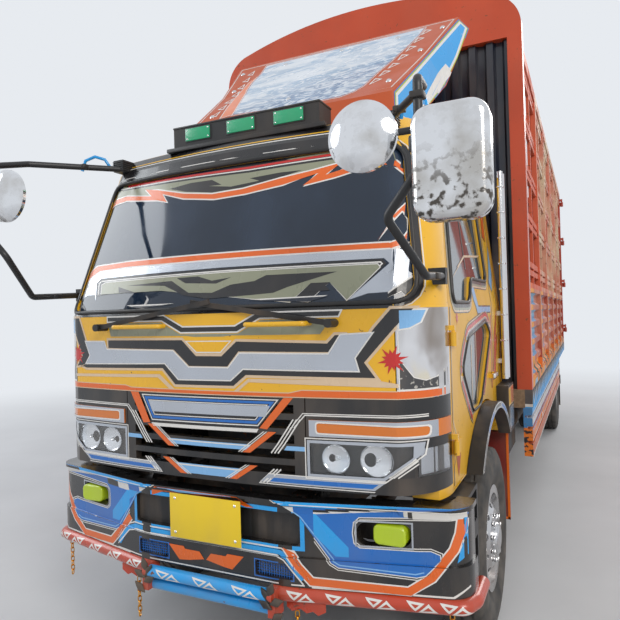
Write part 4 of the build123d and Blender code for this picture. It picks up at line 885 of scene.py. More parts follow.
# round each pair of lamps
lampX, lampZ = (0.51, 0.94), (1.11, 1.24)
lampOuter = [(lampX[0] - 0.012, lampZ[0] - 0.012), (0.826, lampZ[0] - 0.012), (lampX[1] + 0.03,
    lampZ[1] - 0.035), (lampX[1] + 0.038, lampZ[1] + 0.012), (lampX[0] - 0.012, lampZ[1] + 0.012)]
lampInner = [(lampX[0], lampZ[0]), (0.822, lampZ[0]), (lampX[1] - 0.004, lampZ[1] - 0.048),
    (lampX[1] - 0.002, lampZ[1] - 0.002), (lampX[0], lampZ[1])]
lampBack = rectangle(lampX[0] + 0.005, lampX[1] - 0.005, lampZ[0] + 0.004, lampZ[1] - 0.004)
indicatorHole = rounded(mm(545, 1285, 992, 1279, 996, 1316, 545, 1326), 0.014)
indicatorRing = rounded(mm(539, 1279, 998, 1273, 1002, 1322, 539, 1332), 0.016)
cornerLines = [ribbon(mm(845, 1112, 946, 1186), 0.006), ribbon(mm(862, 1112, 952, 1177), 0.006)]
cornerLines.append(ribbon(mm(880, 1112, 955, 1165), 0.005))
upperLines = [ribbon(mm(440, 1300, 492, 1356, 990, 1356), 0.005)]
upperLines.append(ribbon(mm(420, 1292, 482, 1363, 990, 1364), 0.004))
lampLayers = [
    ("nose", "lamp_frame", [lampOuter, lampInner], "silver", 2),
    ("nose", "lamp_frame_line", [grown(lampOuter, 0.01), grown(lampOuter, 0.005)], "white", 2),
    ("nose", "lamp_corner", [(0.828, lampZ[0]), (lampX[1], lampZ[0]), (lampX[1], lampZ[1] - 0.052)],
        "black", 1),
    ("nose", "lamp_corner_lines", cornerLines, "white", 2),
    ("headlamps", "lamp_back", lampBack, "blackPlastic", 0),
    ("headlamps", "corner_back", rectangle(0.955, 1.035, 1.115, 1.22), "silver", 0),
    ("indicators", "indicator_frame", [rectangle(0.511, 1.02, 1.2685, 1.3375), indicatorHole], "silver", 1),
    ("indicators", "indicator_ring", [indicatorRing, indicatorHole], "white", 2),
    ("nose", "indicator_line", upperLines, "white", 1),
]
for number, shift in enumerate((0.0, 0.016, 0.032)):
    drop = [(0.47 - shift, 1.336), (0.395 - shift, 1.228), (0.362 - shift, 1.186)]
    foot = [(0.375 - shift, 1.118), (0.305 - shift, 1.056)]
    lampLayers.append(("nose", f"drop_line{number}", ribbon(drop, 0.006), "white", 1))
    lampLayers.append(("nose", f"foot_line{number}", ribbon(foot, 0.006), "white", 1))
footEdges = [mm(315, 1098, 842, 1098, 838, 1094, 310, 1094), mm(270, 1055, 788, 1052, 784, 1048, 265, 1051)]
lampLayers += [
    ("nose", "side_bar", mm(405, 1221, 492, 1221, 492, 1202, 392, 1202), "paleBlue", 1),
    ("nose", "foot_bar", mm(315, 1094, 835, 1094, 785, 1056, 272, 1058), "silver", 1),
    ("nose", "foot_bar_blue", mm(340, 1080, 800, 1082, 776, 1063, 320, 1063), "deepBlue", 2),
    ("nose", "foot_bar_edge", footEdges, "white", 3),
]
for side, tag in viewerSides:
    for onto, *row in lampLayers:
        layUp([row], onto, "{}_" + tag, mirror=side)

# lamp bowls, turned in from a half sphere
bowls = {"places": (0.62, 0.792), "height": 1.175, "radius": (0.062, 0.07), "depth": 0.017, "gap": 0.0095,
    "noseRadius": 5.5664}
for side, tag in viewerSides:
    for number, (x, radius) in enumerate(zip(bowls["places"], bowls["radius"])):
        skin = bowls["noseRadius"] - math.sqrt(bowls["noseRadius"] ** 2 - x ** 2)
        clearSelection()
        bpy.ops.mesh.primitive_uv_sphere_add(segments=36, ring_count=18, radius=1)
        bowl = named(f"lamp_bowl_{tag}_{number}")
        editMode()
        selectAll()
        bpy.ops.mesh.bisect(plane_co=(0, 0, 0), plane_no=(0, 1, 0), clear_inner=True)
        selectAll()
        bpy.ops.mesh.flip_normals()
        objectMode()
        bowl.scale = (radius, bowls["depth"], radius * 0.96)
        bowl.location = (side * x, aft(skin + bowls["gap"]), bowls["height"])
        settle(bowl)
        wear(smooth(thickened(bowl, 0.0015)), "mirrorGlass", "cab")
        clearSelection()
        bpy.ops.mesh.primitive_cylinder_add(vertices=24, radius=0.01, depth=0.012,
            rotation=(rightAngle, 0, 0), location=(side * x, aft(skin + bowls["gap"] + 0.012),
            bowls["height"]))
        bulb = named(f"lamp_bulb_{tag}_{number}")
        roundEdges(bulb, 0.003)
        wear(settle(bulb), "clearGlass", "cab")
print("grille and lamps dressed")

# Bumper
bumperLedge = (0.7435, 0.7465)  # just below and above the ledge, so that sheets fold there
bumperShapes = {
    "panel": mm(345, 986, 440, 930, 585, 735, 615, 718, 930, 700, 965, 710, 1022, 770, 1020, 790, 985, 803,
        930, 800, 700, 800, 676, 818, 670, 862, 676, 908, 700, 930, 1060, 944, 1130, 948, 1130, 986),
    "sweep": mm(385, 790, 445, 708, 500, 650, 900, 640, 990, 702, 1075, 815, 1098, 880, 1106, 935),
    "trapezoid": mm(-600, 660, -530, 748, -470, 770, 360, 770, 410, 748, 470, 660, 455, 648, 385, 738,
        350, 750, -460, 750, -510, 735, -580, 650),
}
fogHole = rectangle(0.69, 0.91, 0.814, 0.91)
midHole = rectangle(-0.45, 0.45, 0.792, 0.932)
netHoles = (rectangle(-0.42, -0.24, 0.649, 0.715), rectangle(0.24, 0.42, 0.649, 0.715))
bumperLayers = []
for side, tag in viewerSides:
    def turned(outline):
        return outline if side > 0 else flipped(outline)
    panel = turned(bumperShapes["panel"])
    sweep = bumperShapes["sweep"]
    if side < 0:
        sweep = mm(-504, 800, -600, 700, -655, 650) + [(-x, z) for x, z in sweep[3:]]
    bumperLayers += [
        (f"panel_edge_{tag}", grown(panel, 0.013), "white", 0),
        (f"panel_gap_{tag}", grown(panel, 0.009), "black", 1),
        (f"panel_line_{tag}", grown(panel, 0.004), "white", 2), (f"panel_{tag}", panel, "deepBlue", 3),
        (f"panel_inner_{tag}", turned(ribbon(mm(395, 958, 455, 918, 595, 742, 620, 728, 925, 712, 960, 722),
            0.005)), "paleBlue", 4),
        (f"panel_fill_{tag}", turned(mm(420, 935, 520, 935, 655, 800, 655, 760, 600, 760)), "skyBlue", 4),
        (f"top_band_{tag}", turned(mm(330, 985.5, 1139, 985.5, 1139, 956, 375, 966)), "skyBlue", 4),
        (f"top_line_{tag}", turned(mm(360, 974, 1139, 967, 1139, 963, 360, 970)), "white", 5),
        (f"end_{tag}", turned(mm(1085, 760, 1139, 800, 1139, 956, 1112, 950, 1112, 880)), "skyBlue", 1),
        (f"sweep_edge_{tag}", ribbon(sweep, 0.044), "white", 1),
        (f"sweep_{tag}", ribbon(sweep, 0.032), "orange", 2),
        (f"fog_ring_{tag}", [turned(grown(fogHole, 0.008)), turned(grown(fogHole, 0.001))], "silver", 3),
        (f"low_line_{tag}", turned(mm(500, 628, 1070, 632, 1130, 668, 1130, 660, 1075, 624, 500, 622)),
            "white", 1),
    ]
bumperLayers += [
    ("trapezoid", bumperShapes["trapezoid"], "skyBlue", 1),
    ("trapezoid_line", ribbon(mm(-600, 648, -505, 735, -460, 746, 345, 746, 380, 732, 465, 634), 0.006),
        "white", 2),
    ("trapezoid_out", ribbon(mm(-620, 664, -535, 756, -470, 778, 365, 778, 420, 754, 490, 655), 0.006),
        "white", 2),
    ("valance_line", ribbon(mm(-600, 630, 470, 630), 0.006), "white", 1),
    ("rim", [grown(midHole, 0.02), grown(midHole, 0.001)], "skyBlue", 0),
    ("hood", mm(-424, 905, -316, 978, 150, 978, 234, 936, 189, 936, 125, 956, -270, 956, -330, 925),
        "orange", 2),
    ("hood_blue", mm(-300, 976, 120, 976, 110, 960, -290, 960), "paleBlue", 3),
    ("wings", [mm(-236, 716, -150, 716, -140, 704, -60, 704, -34, 672, -120, 656, -175, 650),
        mm(180, 716, 94, 716, 84, 704, 4, 704, -22, 672, 64, 656, 119, 650)], "orange", 1),
    ("mesh_rims", [grown(hole, by) for hole in netHoles for by in (0.006, 0.001)], "deepBlue", 1),
]
for name, outlines, finish, layer in bumperLayers:
    # kept inside the edges of the shell, so that no corner of a sheet misses it
    outlines = [[(min(max(x, -1.1385), 1.1385), min(max(z, 0.6215), 0.984)) for x, z in outline]
        for outline in separate(outlines)]
    vinyl("bumper_" + name, outlines, "front_bumper", finish, "chassis", layer, levels=bumperLedge)


def upright(name, middle, size, columns, rows):
    # a grid that faces forward
    clearSelection()
    bpy.ops.mesh.primitive_grid_add(x_subdivisions=columns, y_subdivisions=rows, size=1, location=middle,
        rotation=(rightAngle, 0, 0))
    grid = named(name)
    grid.scale = (*size, 1)
    return settle(grid)


# wire mesh behind the two small holes
for side, tag in viewerSides:
    net = upright(f"bumper_net_{tag}", (side * 0.33, aft(0.018), 0.682), (0.186, 0.072), 15, 6)
    wires = net.modifiers.new("wires", "WIREFRAME")
    wires.thickness = 0.0045
    wires.use_even_offset = False
    wear(applyAll(net), "deepBlue", "chassis")

# dark baffles close the openings from behind, with one grid column in two set back
for name, low, high in (("middle", (-0.47, 0.0435, 0.78), (0.47, 0.0475, 0.945)),
        ("fog_left", (0.655, 0.2, 0.795), (0.945, 0.204, 0.93)), ("fog_right", (-0.945, 0.2, 0.795),
        (-0.655, 0.204, 0.93))):
    baffle = upright(f"bumper_baffle_{name}", ((low[0] + high[0]) / 2, aft(low[1]), (low[2] + high[2]) / 2),
        (high[0] - low[0], high[2] - low[2]), 24, 6)
    for vertex in baffle.data.vertices:
        vertex.co.y += 0.004 * (round(vertex.co.x / 0.0392) % 2)
    wear(thickened(baffle, 0.003), "blackPlastic", "chassis")


def box(name, x, back, z, bevel, finish, body="cab", side=1, segments=2):
    # a box with rounded edges, from pairs of limits; back counts from the front panel
    clearSelection()
    low, high = zip(sorted(side * edge for edge in x), map(aft, back), z)
    bpy.ops.mesh.primitive_cube_add(size=1, location=[(a + b) / 2 for a, b in zip(low, high)])
    piece = named(name)
    piece.scale = [b - a for a, b in zip(low, high)]
    settle(piece)
    roundEdges(piece, bevel, segments)
    return wear(smooth(piece), finish, body)


domeSet = {"collar": 1.16, "collarHeight": 0.55, "collarEdge": 0.45, "pole": 0.9}


def dome(name, spot, radius, height, axis, finish, body="cab", tilt=0.0):
    # a low round head, such as a bolt or cap, with a collar round its middle and a dished face
    clearSelection()
    bpy.ops.mesh.primitive_uv_sphere_add(segments=16, ring_count=8, radius=1, location=(0, 0, 0))
    piece = named(name)
    collar = domeSet["collar"]
    chooseVertices(piece, lambda vertex: abs(vertex.co.z) <= domeSet["collarEdge"])
    bpy.ops.mesh.extrude_region_move(TRANSFORM_OT_translate={"value": (0, 0, 0)})
    bpy.ops.transform.resize(value=(collar, collar, domeSet["collarHeight"]), center_override=(0, 0, 0))
    objectMode()
    chooseVertices(piece, lambda vertex: abs(vertex.co.z) >= domeSet["pole"])
    bpy.ops.mesh.inset(thickness=0.1, depth=-0.12)
    objectMode()
    piece.scale = (radius / collar, radius / collar, height)
    piece.rotation_euler = {"X": (0, rightAngle, 0), "Y": (rightAngle, 0, 0), "Z": (tilt, 0, 0)}[axis]
    piece.location = spot
    return wear(smooth(settle(piece), 40), finish, body)


# blank number plate on two brackets
plateFront = -0.02
box("number_plate", (-0.209, 0.181), (plateFront, plateFront + 0.003), (0.76, 0.966), 0.0012, "plateYellow",
    "chassis")
for side, tag, x in ((1, "right", 0.12), (-1, "left", -0.15)):
    for name, z in (("bracket", 0.775), ("bracket_top", 0.945)):
        box(f"plate_{name}_{tag}", (x - 0.015, x + 0.015), (plateFront + 0.003, 0.008), (z, z + 0.015),
            0.001, "chassisBlack", "chassis")
    for z in (0.785, 0.942):
        dome(f"plate_bolt_{x:.2f}_{z:.2f}".replace("-", "m"), (x + side * 0.03, aft(plateFront), z), 0.007,
            0.004, "Y", "chrome", "chassis")

# white triangle pairs round the pipes
pipeLow, pipeHigh = 0.566, 0.611
pairs = []
for start in (0.395, 0.56, 0.725, 0.89, 1.02):
    for side in (1, -1):
        for shape in ([(start, pipeHigh), (start + 0.072, pipeHigh - 0.006), (start + 0.036,
                pipeLow + 0.006)], [(start + 0.045, pipeLow), (start + 0.125, pipeLow + 0.004),
                (start + 0.088, pipeHigh - 0.006)]):
            shape = [(side * x, z) for x, z in shape]
            pairs.append([shape, grown(shape, -0.0095)])
low, high = pipeLow + 0.002, pipeHigh - 0.002
for start in (-0.275, -0.065, 0.145):
    for shape in ([(start, high), (start + 0.085, high - 0.006), (start + 0.042, low + 0.004)],
            [(start + 0.055, low), (start + 0.145, low + 0.004), (start + 0.1, high - 0.006)]):
        pairs.append([shape, grown(shape, -0.0085)])
for number, pair in enumerate(pairs):
    vinyl(f"pipe_triangle_{number}", pair, "bumper_pipes", "white", "chassis", columns=0.02, rows=0.012)

# leaf clamps, hanging plates and chains
leafHalf, leafWidth, leafThickness = 0.0375, 0.02, 0.01
hangingPlate = mm(375, 560, 560, 560, 560, 528, 525, 508, 500, 520, 470, 508, 440, 522, 400, 505, 375, 520)
for side, tag in viewerSides:
    for number, (dx, dz, angle) in enumerate(((0.0, 0.035, 0.35), (0.028, -0.012, 1.2),
            (-0.026, -0.03, -1.1), (0.03, -0.075, 0.9), (-0.024, 0.01, -0.6))):
        clearSelection()
        bpy.ops.mesh.primitive_uv_sphere_add(segments=16, ring_count=8, radius=1)
        piece = named(f"pipe_leaf_{tag}_{number}")
        editMode()
        selectAll()
        bpy.ops.transform.resize(value=(leafWidth, leafThickness, leafHalf))
        objectMode()
        for vertex in piece.data.vertices:
            vertex.co.x *= max(1 - 0.75 * abs(vertex.co.z) / leafHalf, 0.08)
        piece.rotation_euler = (0, side * angle, 0)
        piece.location = (side * (0.342 + dx), aft(-0.054), 0.585 + dz)
        wear(smooth(settle(piece), 60), "blackPlastic", "chassis")
    flatSheet(f"pipe_plate_{tag}", hangingPlate if side > 0 else flipped(hangingPlate), 0.03, 0.003,
        "pipePaint", "chassis")

linkSize = {"pitch": 0.024, "wire": 0.0028, "half": 0.009, "side": 0.006, "count": 8}
for number, (x, back, top) in enumerate(((-1.06, 0.168, 0.556), (-0.445, 0.022, 0.512),
        (0.43, 0.022, 0.512), (1.06, 0.168, 0.556))):
    links = []
    for index in range(linkSize["count"]):
        clearSelection()
        bpy.ops.mesh.primitive_torus_add(major_segments=12, minor_segments=6, major_radius=linkSize["half"],
            minor_radius=linkSize["wire"], rotation=(rightAngle, math.pi / 12, 0))
        link = settle(named(f"chain_{number}_{index}"))
        # the ring is drawn out into a link with straight sides
        for end in (1, -1):
            chooseVertices(link, lambda vertex: vertex.co.z * end > 0)
            bpy.ops.transform.translate(value=(0, 0, end * linkSize["side"]))
            objectMode()
        link.rotation_euler = (0, 0, rightAngle * (index % 2) + 0.3)
        link.location = (x, aft(back), top - 0.01 - index * linkSize["pitch"])
        links.append(settle(link))
    joined(links)
    wear(smooth(named(f"chain_{number}"), 60), "gold", "chassis")
print("bumper dressed")


# Shared shapes for the pieces above the bumper
def bead(name, points, radius, finish, body="cab", closed=True):
    # a round bead along points in the row frame
    piece = curveMesh(name, [points], closed, dimensions="3D", bevel_depth=radius, bevel_resolution=2,
        use_fill_caps=not closed)
    return wear(smooth(piece, 70), finish, body)


def onSurface(outline, onto, side=0, out=0.0):
    # points of an outline dropped onto a piece, about 30 mm apart
    outward = Vector((side, 0, 0)) if side else Vector((0, -1, 0))
    found = []
    for first, last in zip(outline, outline[1:] + outline[:1]):
        count = max(1, round(math.dist(first, last) / 0.03))
        for index in range(count):
            u, v = (a + (b - a) * index / count for a, b in zip(first, last))
            origin = Vector((side * vinylSet["sideStart"], u, v)) if side else Vector(
                (u, -vinylSet["frontStart"], v))
            hit, spot, normal, face = surfaces[onto].ray_cast(origin, -outward)
            if hit:
                found.append(spot + outward * out)
    return found


# Windscreen seal and header
screenEdge = rounded(mm(-955, 1835, 955, 1835, 850, 2545, -850, 2545), 0.09)
headerLine = mm(-820, 2640, 820, 2640, 817, 2646, -817, 2646)
vinyl("screen_frame", [grown(screenEdge, 0.034), grown(screenEdge, 0.002)], "cab_body", "black", rows=0.1)
vinyl("screen_frame_line", [grown(screenEdge, 0.04), grown(screenEdge, 0.036)], "cab_body", "white",
    layer=1, rows=0.1)
bead("screen_seal", onSurface(grown(screenEdge, 0.01), "cab_body", out=0.002), 0.011, "sealRubber")
vinyl("header_band", mm(-840, 2560, 840, 2560, 790, 2698.5, -790, 2698.5), "cab_body", "black", layer=1,
    rows=0.02)
layUp([("line", headerLine, "white", 4), ("gold", [(x, z + 0.014) for x, z in headerLine], "yellow", 4)],
    "cab_body", "header_{}", rows=0.005, columns=0.03)

# Light box on the roof
lightFront, lensZ = 0.376, (2.742, 2.808)
for number, (xLow, xHigh) in enumerate(((-0.357, -0.2), (-0.09, 0.075), (0.19, 0.355))):
    box(f"roof_lens_rim_{number}", (xLow - 0.006, xHigh + 0.006), (lightFront - 0.003, lightFront + 0.002),
        (lensZ[0] - 0.006, lensZ[1] + 0.006), 0.002, "blackPlastic")
    box(f"roof_lens_{number}", (xLow, xHigh), (lightFront - 0.009, lightFront + 0.001), lensZ, 0.003,
        "greenLens")
    for x in (xLow + 0.01, xHigh - 0.01):
        for z in (lensZ[0] + 0.01, lensZ[1] - 0.01):
            dome(f"roof_screw_{x:.2f}_{z:.2f}", (x, aft(lightFront - 0.009), z), 0.0045, 0.0025, "Y",
                "chrome")
box("roof_visor", (-0.475, 0.475), (0.352, 0.384), (2.69, 2.712), 0.004, "blackPlastic")
box("roof_box_lid", (-0.444, 0.444), (0.372, 0.524), (2.818, 2.829), 0.004, "blackPlastic")

# Wind deflector
picture = mm(-420, 3075, -470, 3180, -560, 3400, -578, 3500, -572, 3600, -592, 3712, 640, 3712, 622, 3620,
    590, 3530, 548, 3440, 508, 3340, 478, 3240, 462, 3160, 448, 3100, 415, 3058, 345, 3030,
    120, 3033, -200, 3052)
orangeStripe = mm(-430, 3075, -482, 3190, -572, 3400, -592, 3500, -590, 3580, -618, 3500, -610, 3340,
    -565, 3200, -505, 3060)
deflectorLayers = [
    ("edge", [mm(-655, 3020, -735, 3360, -838, 3742, 838, 3742, 735, 3360, 655, 3020),
        mm(-648, 3020, -728, 3360, -830, 3736, 830, 3736, 728, 3360, 648, 3020)], "white", 0),
    ("rim", grown(picture, 0.012), "white", 1), ("rim_dark", grown(picture, 0.007), "brick", 2),
    ("picture", picture, "skyPicture", 3), ("stripe_edge", grown(orangeStripe, 0.006), "white", 4),
    ("stripe", orangeStripe, "hotOrange", 5),
]
for index, z in enumerate((3.13, 3.21, 3.29, 3.38, 3.47, 3.56, 3.65)):
    edge = 0.462 + max(0.0, z - 3.1) * 0.3
    right = [(edge + 0.014, z - 0.03), (edge + 0.08, z + 0.012), (edge + 0.026, z + 0.036)]
    edge = -0.515 - max(0.0, z - 3.05) * 0.17
    left = [(edge - 0.1, z - 0.02), (edge - 0.04, z - 0.036), (edge - 0.062, z + 0.034)]
    for shape, tag in ((right, "right"), (left, "left")):
        deflectorLayers.append((f"tooth_{index}_{tag}", [shape, grown(shape, -0.008)], "white", 1))
layUp(deflectorLayers, "wind_deflector", "deflector_{}", rows=0.06)
boltSpots = mm(775, 3660, 690, 3420, 605, 3100, -775, 3660, -690, 3420, -605, 3100, -60, 3130, -400, 3660,
    50, 3670, 470, 3660)
for number, spot in enumerate(boltSpots):
    for seat in onSurface([spot], "wind_deflector"):
        dome(f"deflector_bolt_{number}", seat, 0.019, 0.011, "Z", "chrome", tilt=math.radians(38.5))
fin = sideways(mm(800, 2860, 845, 2975, 1335, 3352, 1770, 3738, 1830, 3690, 1640, 3420, 1455, 3196,
    1200, 3010, 965, 2855, 905, 2775))
slash = sideways(mm(1100, 2990, 1500, 3345, 1530, 3325, 1130, 2975))
finLayers = [("edge", grown(fin, 0.002), "deepBlue", 0), ("green", grown(fin, -0.004), "limeEdge", 1),
    ("white", grown(fin, -0.01), "white", 2), ("blue", grown(fin, -0.024), "skyBlue", 3)]
for number in range(2):
    lower = [(y + 0.018 * number, z - 0.03 * number) for y, z in slash]
    finLayers.append((f"slash_{number}", lower, "white", 4))
for side, tag in sides:
    layUp(finLayers, "wind_deflector", "fin_{}_" + tag, side=side, rows=0.05, columns=0.05)
print("roof, light box and deflector dressed")

# Doors
tear = rounded(sideways(mm(600, 1500, 760, 1640, 1330, 1710, 1470, 1640, 1080, 1270, 850, 1270)), 0.05)
window = rounded(sideways(mm(440, 1830, 840, 1830, 960, 1960, 1480, 1960, 1480, 2470, 650, 2470)), 0.05)
midBand = sideways(mm(950, 1920, 1020, 1920, 1100, 1800, 1530, 1800, 1530, 1770, 1070, 1765, 980, 1840))
tearBands = ((0.078, "black"), (0.072, "cream"), (0.066, "black"), (0.06, "red"), (0.04, "cream"),
    (0.034, "silver"), (0.026, "black"))
windowBands = ((0.06, "black"), (0.055, "cream"), (0.046, "khaki"), (0.034, "black"))
glassLayers = [
    ("tear_bar_0.92", ribbon(sideways(mm(920, 1300, 920, 1660)), 0.012), "cream", 2),
    ("tear_bar_1.06", ribbon(sideways(mm(1060, 1300, 1060, 1660)), 0.012), "cream", 2),
    ("window_bar", ribbon(sideways(mm(955, 1950, 955, 2470)), 0.022), "black", 1),
    ("window_rail", ribbon(sideways(mm(460, 1905, 955, 2070, 1480, 2110)), 0.012), "cream", 2),
]
doorLayers = [
    ("star", star(aft(0.505), 1.75, 0.036, 9, 0.42, 0.9), "red", 1),
    ("front_line", ribbon(sideways(mm(352, 1020, 352, 1800)), 0.006), "black", 1),
    ("front_cream", ribbon(sideways(mm(362, 1020, 362, 1800)), 0.005), "cream", 1),
    ("mid_band", midBand, "paleBlue", 1), ("mid_edge", grown(midBand, 0.008), "black", 0),
    ("flames", sideways(mm(450, 1035, 500, 1120, 475, 1180, 455, 1240, 440, 1180, 415, 1120, 430, 1070)),
        "coral", 1),
    ("grain", ribbon(sideways(mm(1515, 1300, 1535, 1450, 1530, 1750)), 0.03), "red", 1),
    ("grain_line", ribbon(sideways(mm(1497, 1300, 1517, 1450, 1512, 1750)), 0.006), "cream", 2),
]
for side, tag in sides:
    door = body = f"cab_door_{tag}"
    for name, outline, bands, gap, radius in (("tear", tear, tearBands, 0.006, 0.007),
            ("window", window, windowBands, 0.008, 0.01)):
        layUp([(f"{name}_band_{number}", [grown(outline, by), grown(outline, 0.001)], finish, number)
            for number, (by, finish) in enumerate(bands)], door, "{}_" + tag, body, side=side, rows=0.1)
        bead(f"{name}_seal_{tag}", onSurface(grown(outline, gap), door, side, 0.002), radius, "sealRubber",
            body)
    layUp(glassLayers, f"door_glass_{tag}", "{}_" + tag, body, side=side, rows=0.1)
    layUp(doorLayers, door, "door_{}_" + tag, body, side=side, rows=0.1)
    box(f"door_grip_{tag}", (1.066, 1.0795), (1.4, 1.54), (1.37, 1.4), 0.005, "chrome", body, side)

# Corner panels of the cab
quarter = mm(900, 1790, 900, 1715, 935, 1720, 972, 1742, 990, 1790)
dark = mm(897, 1470, 1043, 1470, 1043, 1545, 1020, 1512, 985, 1500, 945, 1515, 897, 1590)
cornerLayers = [
    ("quarter_edge", grown(quarter, 0.006), "white", 1), ("quarter", quarter, "paleBlue", 2),
    ("gap_line", mm(891.5, 1432, 895.5, 1432, 895.5, 1798, 891.5, 1798), "white", 1),
    ("dark_edge", grown(dark, 0.004), "white", 0), ("dark", dark, "speckle", 1),
    ("foot", mm(886, 1432, 1044, 1432, 1044, 1462, 886, 1462), "orange", 1),
    ("foot_line", mm(886, 1462, 1044, 1462, 1044, 1468, 886, 1468), "white", 2),
]
for side, tag in sides:
    layUp(cornerLayers, "corner_panels", "corner_{}_" + tag, mirror=side)
print("doors and corners dressed")


# Wheels and tyres
tyreShape = {"steps": 120, "notch": 0.009}
tyreProfile = mm(-91, 256.5, -93, 292, -108, 318, -119, 345, -124.5, 378, -124.5, 402, -119, 442, -113, 452,
    -112, 468, -103, 486, -92, 494.5, -62, 496, -60, 486, -48, 486, -46, 497.5, -10, 499, -8, 488)
tyreProfile = tyreProfile + [(-x, r) for x, r in reversed(tyreProfile)]
tyreProfile += mm(80, 256.5, 0, 270, -80, 256.5)


def spun(name, profile, centre, finish, body="cab", angle=35, steps=32, turn=Matrix()):
    # a closed profile of (x, r) turned about the axle line
    clearSelection()
    bpy.ops.mesh.primitive_circle_add(vertices=len(profile), radius=1, fill_type="NOTHING")
    piece = named(name)
    for vertex, (x, r) in zip(piece.data.vertices, profile):
        vertex.co = (x, 0, r)
    if profile[0][1] == 0 and profile[-1][1] == 0:
        # the edge along the axle line isn't turned, so that both poles close to a point
        chooseVertices(piece, lambda vertex: vertex.index in (0, len(profile) - 1))
        bpy.ops.mesh.delete(type="EDGE")
        objectMode()
    editMode()
    selectAll()
    bpy.ops.mesh.spin(steps=steps, angle=math.tau, center=(0, 0, 0), axis=(1, 0, 0))
    selectAll()
    bpy.ops.mesh.remove_doubles(threshold=0.0002)
    bpy.ops.mesh.normals_make_consistent(inside=False)
    objectMode()
    piece.data.transform(Matrix.Translation(centre) @ turn)
    return wear(smooth(piece, angle), finish, body)


def notchTread(piece, centre):
    for vertex in piece.data.vertices:
        x = vertex.co.x - centre[0]
        y = vertex.co.y - centre[1]
        z = vertex.co.z - centre[2]
        reach = math.hypot(y, z)
        if reach > 0.485 and abs(x) > 0.055:
            turn = round(math.atan2(z, y) / (math.tau / tyreShape["steps"]))
            if turn % 3 == (0 if x > 0 else 1):
                keep = (reach - tyreShape["notch"]) / reach
                vertex.co.y = centre[1] + y * keep
                vertex.co.z = centre[2] + z * keep


for axle, plural, places, back in (("front", "", (0.97,), frontAxle), ("rear", "s", (0.745, 1.035),
        rearAxle)):
    for side, tag in sides:
        made = []
        for number, x in enumerate(places):
            centre = (side * x, aft(back), hubHeight)
            made.append(spun(f"{axle}_tread_{tag}_{number}", tyreProfile, centre, "tyre",
                f"{axle}_wheel{plural}_{tag}", steps=tyreShape["steps"]))
            notchTread(made[-1], centre)
        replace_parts(joined(made), f"{axle}_tyre{plural}_{tag}")


def nutRing(name, count, ring, x, radius, height, side, axle, body):
    nuts = []
    for index in range(count):
        turn = math.tau * (index + 0.5) / count
        spot = (side * (x + height / 2 - 0.002), aft(axle) + ring * math.cos(turn),
            hubHeight + ring * math.sin(turn))
        clearSelection()
        bpy.ops.mesh.primitive_cylinder_add(vertices=6, radius=radius, depth=height,
            rotation=(0, rightAngle, 0), location=spot)
        nut = named(f"{name}_{index}")
        roundEdges(nut, 0.0025)
        nuts.append(settle(nut))
    joined(nuts)
    wear(smooth(named(name)), "chrome", body)


capProfiles = {"front": mm(1104.5, 0, 1104.5, 50, 1104.5, 68, 1108, 64, 1112, 52, 1114.5, 30, 1115, 0),
    "rear": mm(1114, 0, 1114, 60, 1121, 58, 1126, 45, 1128, 20, 1128.5, 0)}
for side, tag in sides:
    nutRing(f"front_nuts_{tag}", 10, 0.12, 1.0865, 0.015, 0.017, side, frontAxle, f"front_wheel_{tag}")
    nutRing(f"rear_nuts_{tag}", 10, 0.143, 0.903, 0.015, 0.03, side, rearAxle, f"rear_wheels_{tag}")
    nutRing(f"hub_studs_{tag}", 8, 0.095, 1.115, 0.008, 0.01, side, rearAxle, f"rear_wheels_{tag}")
    for axle, back, finish, body in (("front", frontAxle, "wheelChrome", f"front_wheel_{tag}"),
            ("rear", rearAxle, "wheelSteel", f"rear_wheels_{tag}")):
        spun(f"{axle}_cap_{tag}", [(side * x, r) for x, r in capProfiles[axle]], (0, aft(back), hubHeight),
            finish, body, 50)
print("wheels and tyres made")

# Arch flares, quarter blocks and vanes
flareSet = {"inner": 0.724, "outer": 0.757, "starts": (42, 62, 82, 102, 122), "sweep": 17}


def arcBand(inner, outer, start, sweep, steps=10):
    points = []
    for radius, order in ((outer, range(steps + 1)), (inner, range(steps, -1, -1))):
        for step in order:
            turn = math.radians(start + sweep * step / steps)
            points.append((aft(frontAxle) - radius * math.cos(turn), hubHeight + radius * math.sin(turn)))
    return points


blocks = {
    "grey": (mm(1715, 1010, 1935, 1010, 1935, 1150, 1760, 1150), "silver"),
    "yellow": (mm(1700, 1165, 1800, 1165, 1790, 1270, 1700, 1270), "yellow"),
    "red": (mm(1815, 1165, 1935, 1165, 1935, 1270, 1805, 1270), "coral"),
}
flareLayers = [("flare_band", arcBand(0.722, 0.759, 40, 100, 40), "silver", 0)]
for number, start in enumerate(flareSet["starts"]):
    for name, edge, trim, finish, layer in (("panel_edge", 0.003, 0, "white", 1),
            ("panel", 0.0065, 0.5, "deepBlue" if number % 2 else "black", 2)):
        band = arcBand(flareSet["inner"] + edge, flareSet["outer"] - edge, start + trim,
            flareSet["sweep"] - 2 * trim)
        flareLayers.append((f"flare_{name}_{number}", band, finish, layer))
blockLayers = []
for name, (outline, finish) in blocks.items():
    outline = sideways(outline)
    blockLayers += [(f"quarter_{name}_edge", grown(outline, 0.006), "cream", 0),
        (f"quarter_{name}", outline, finish, 1)]
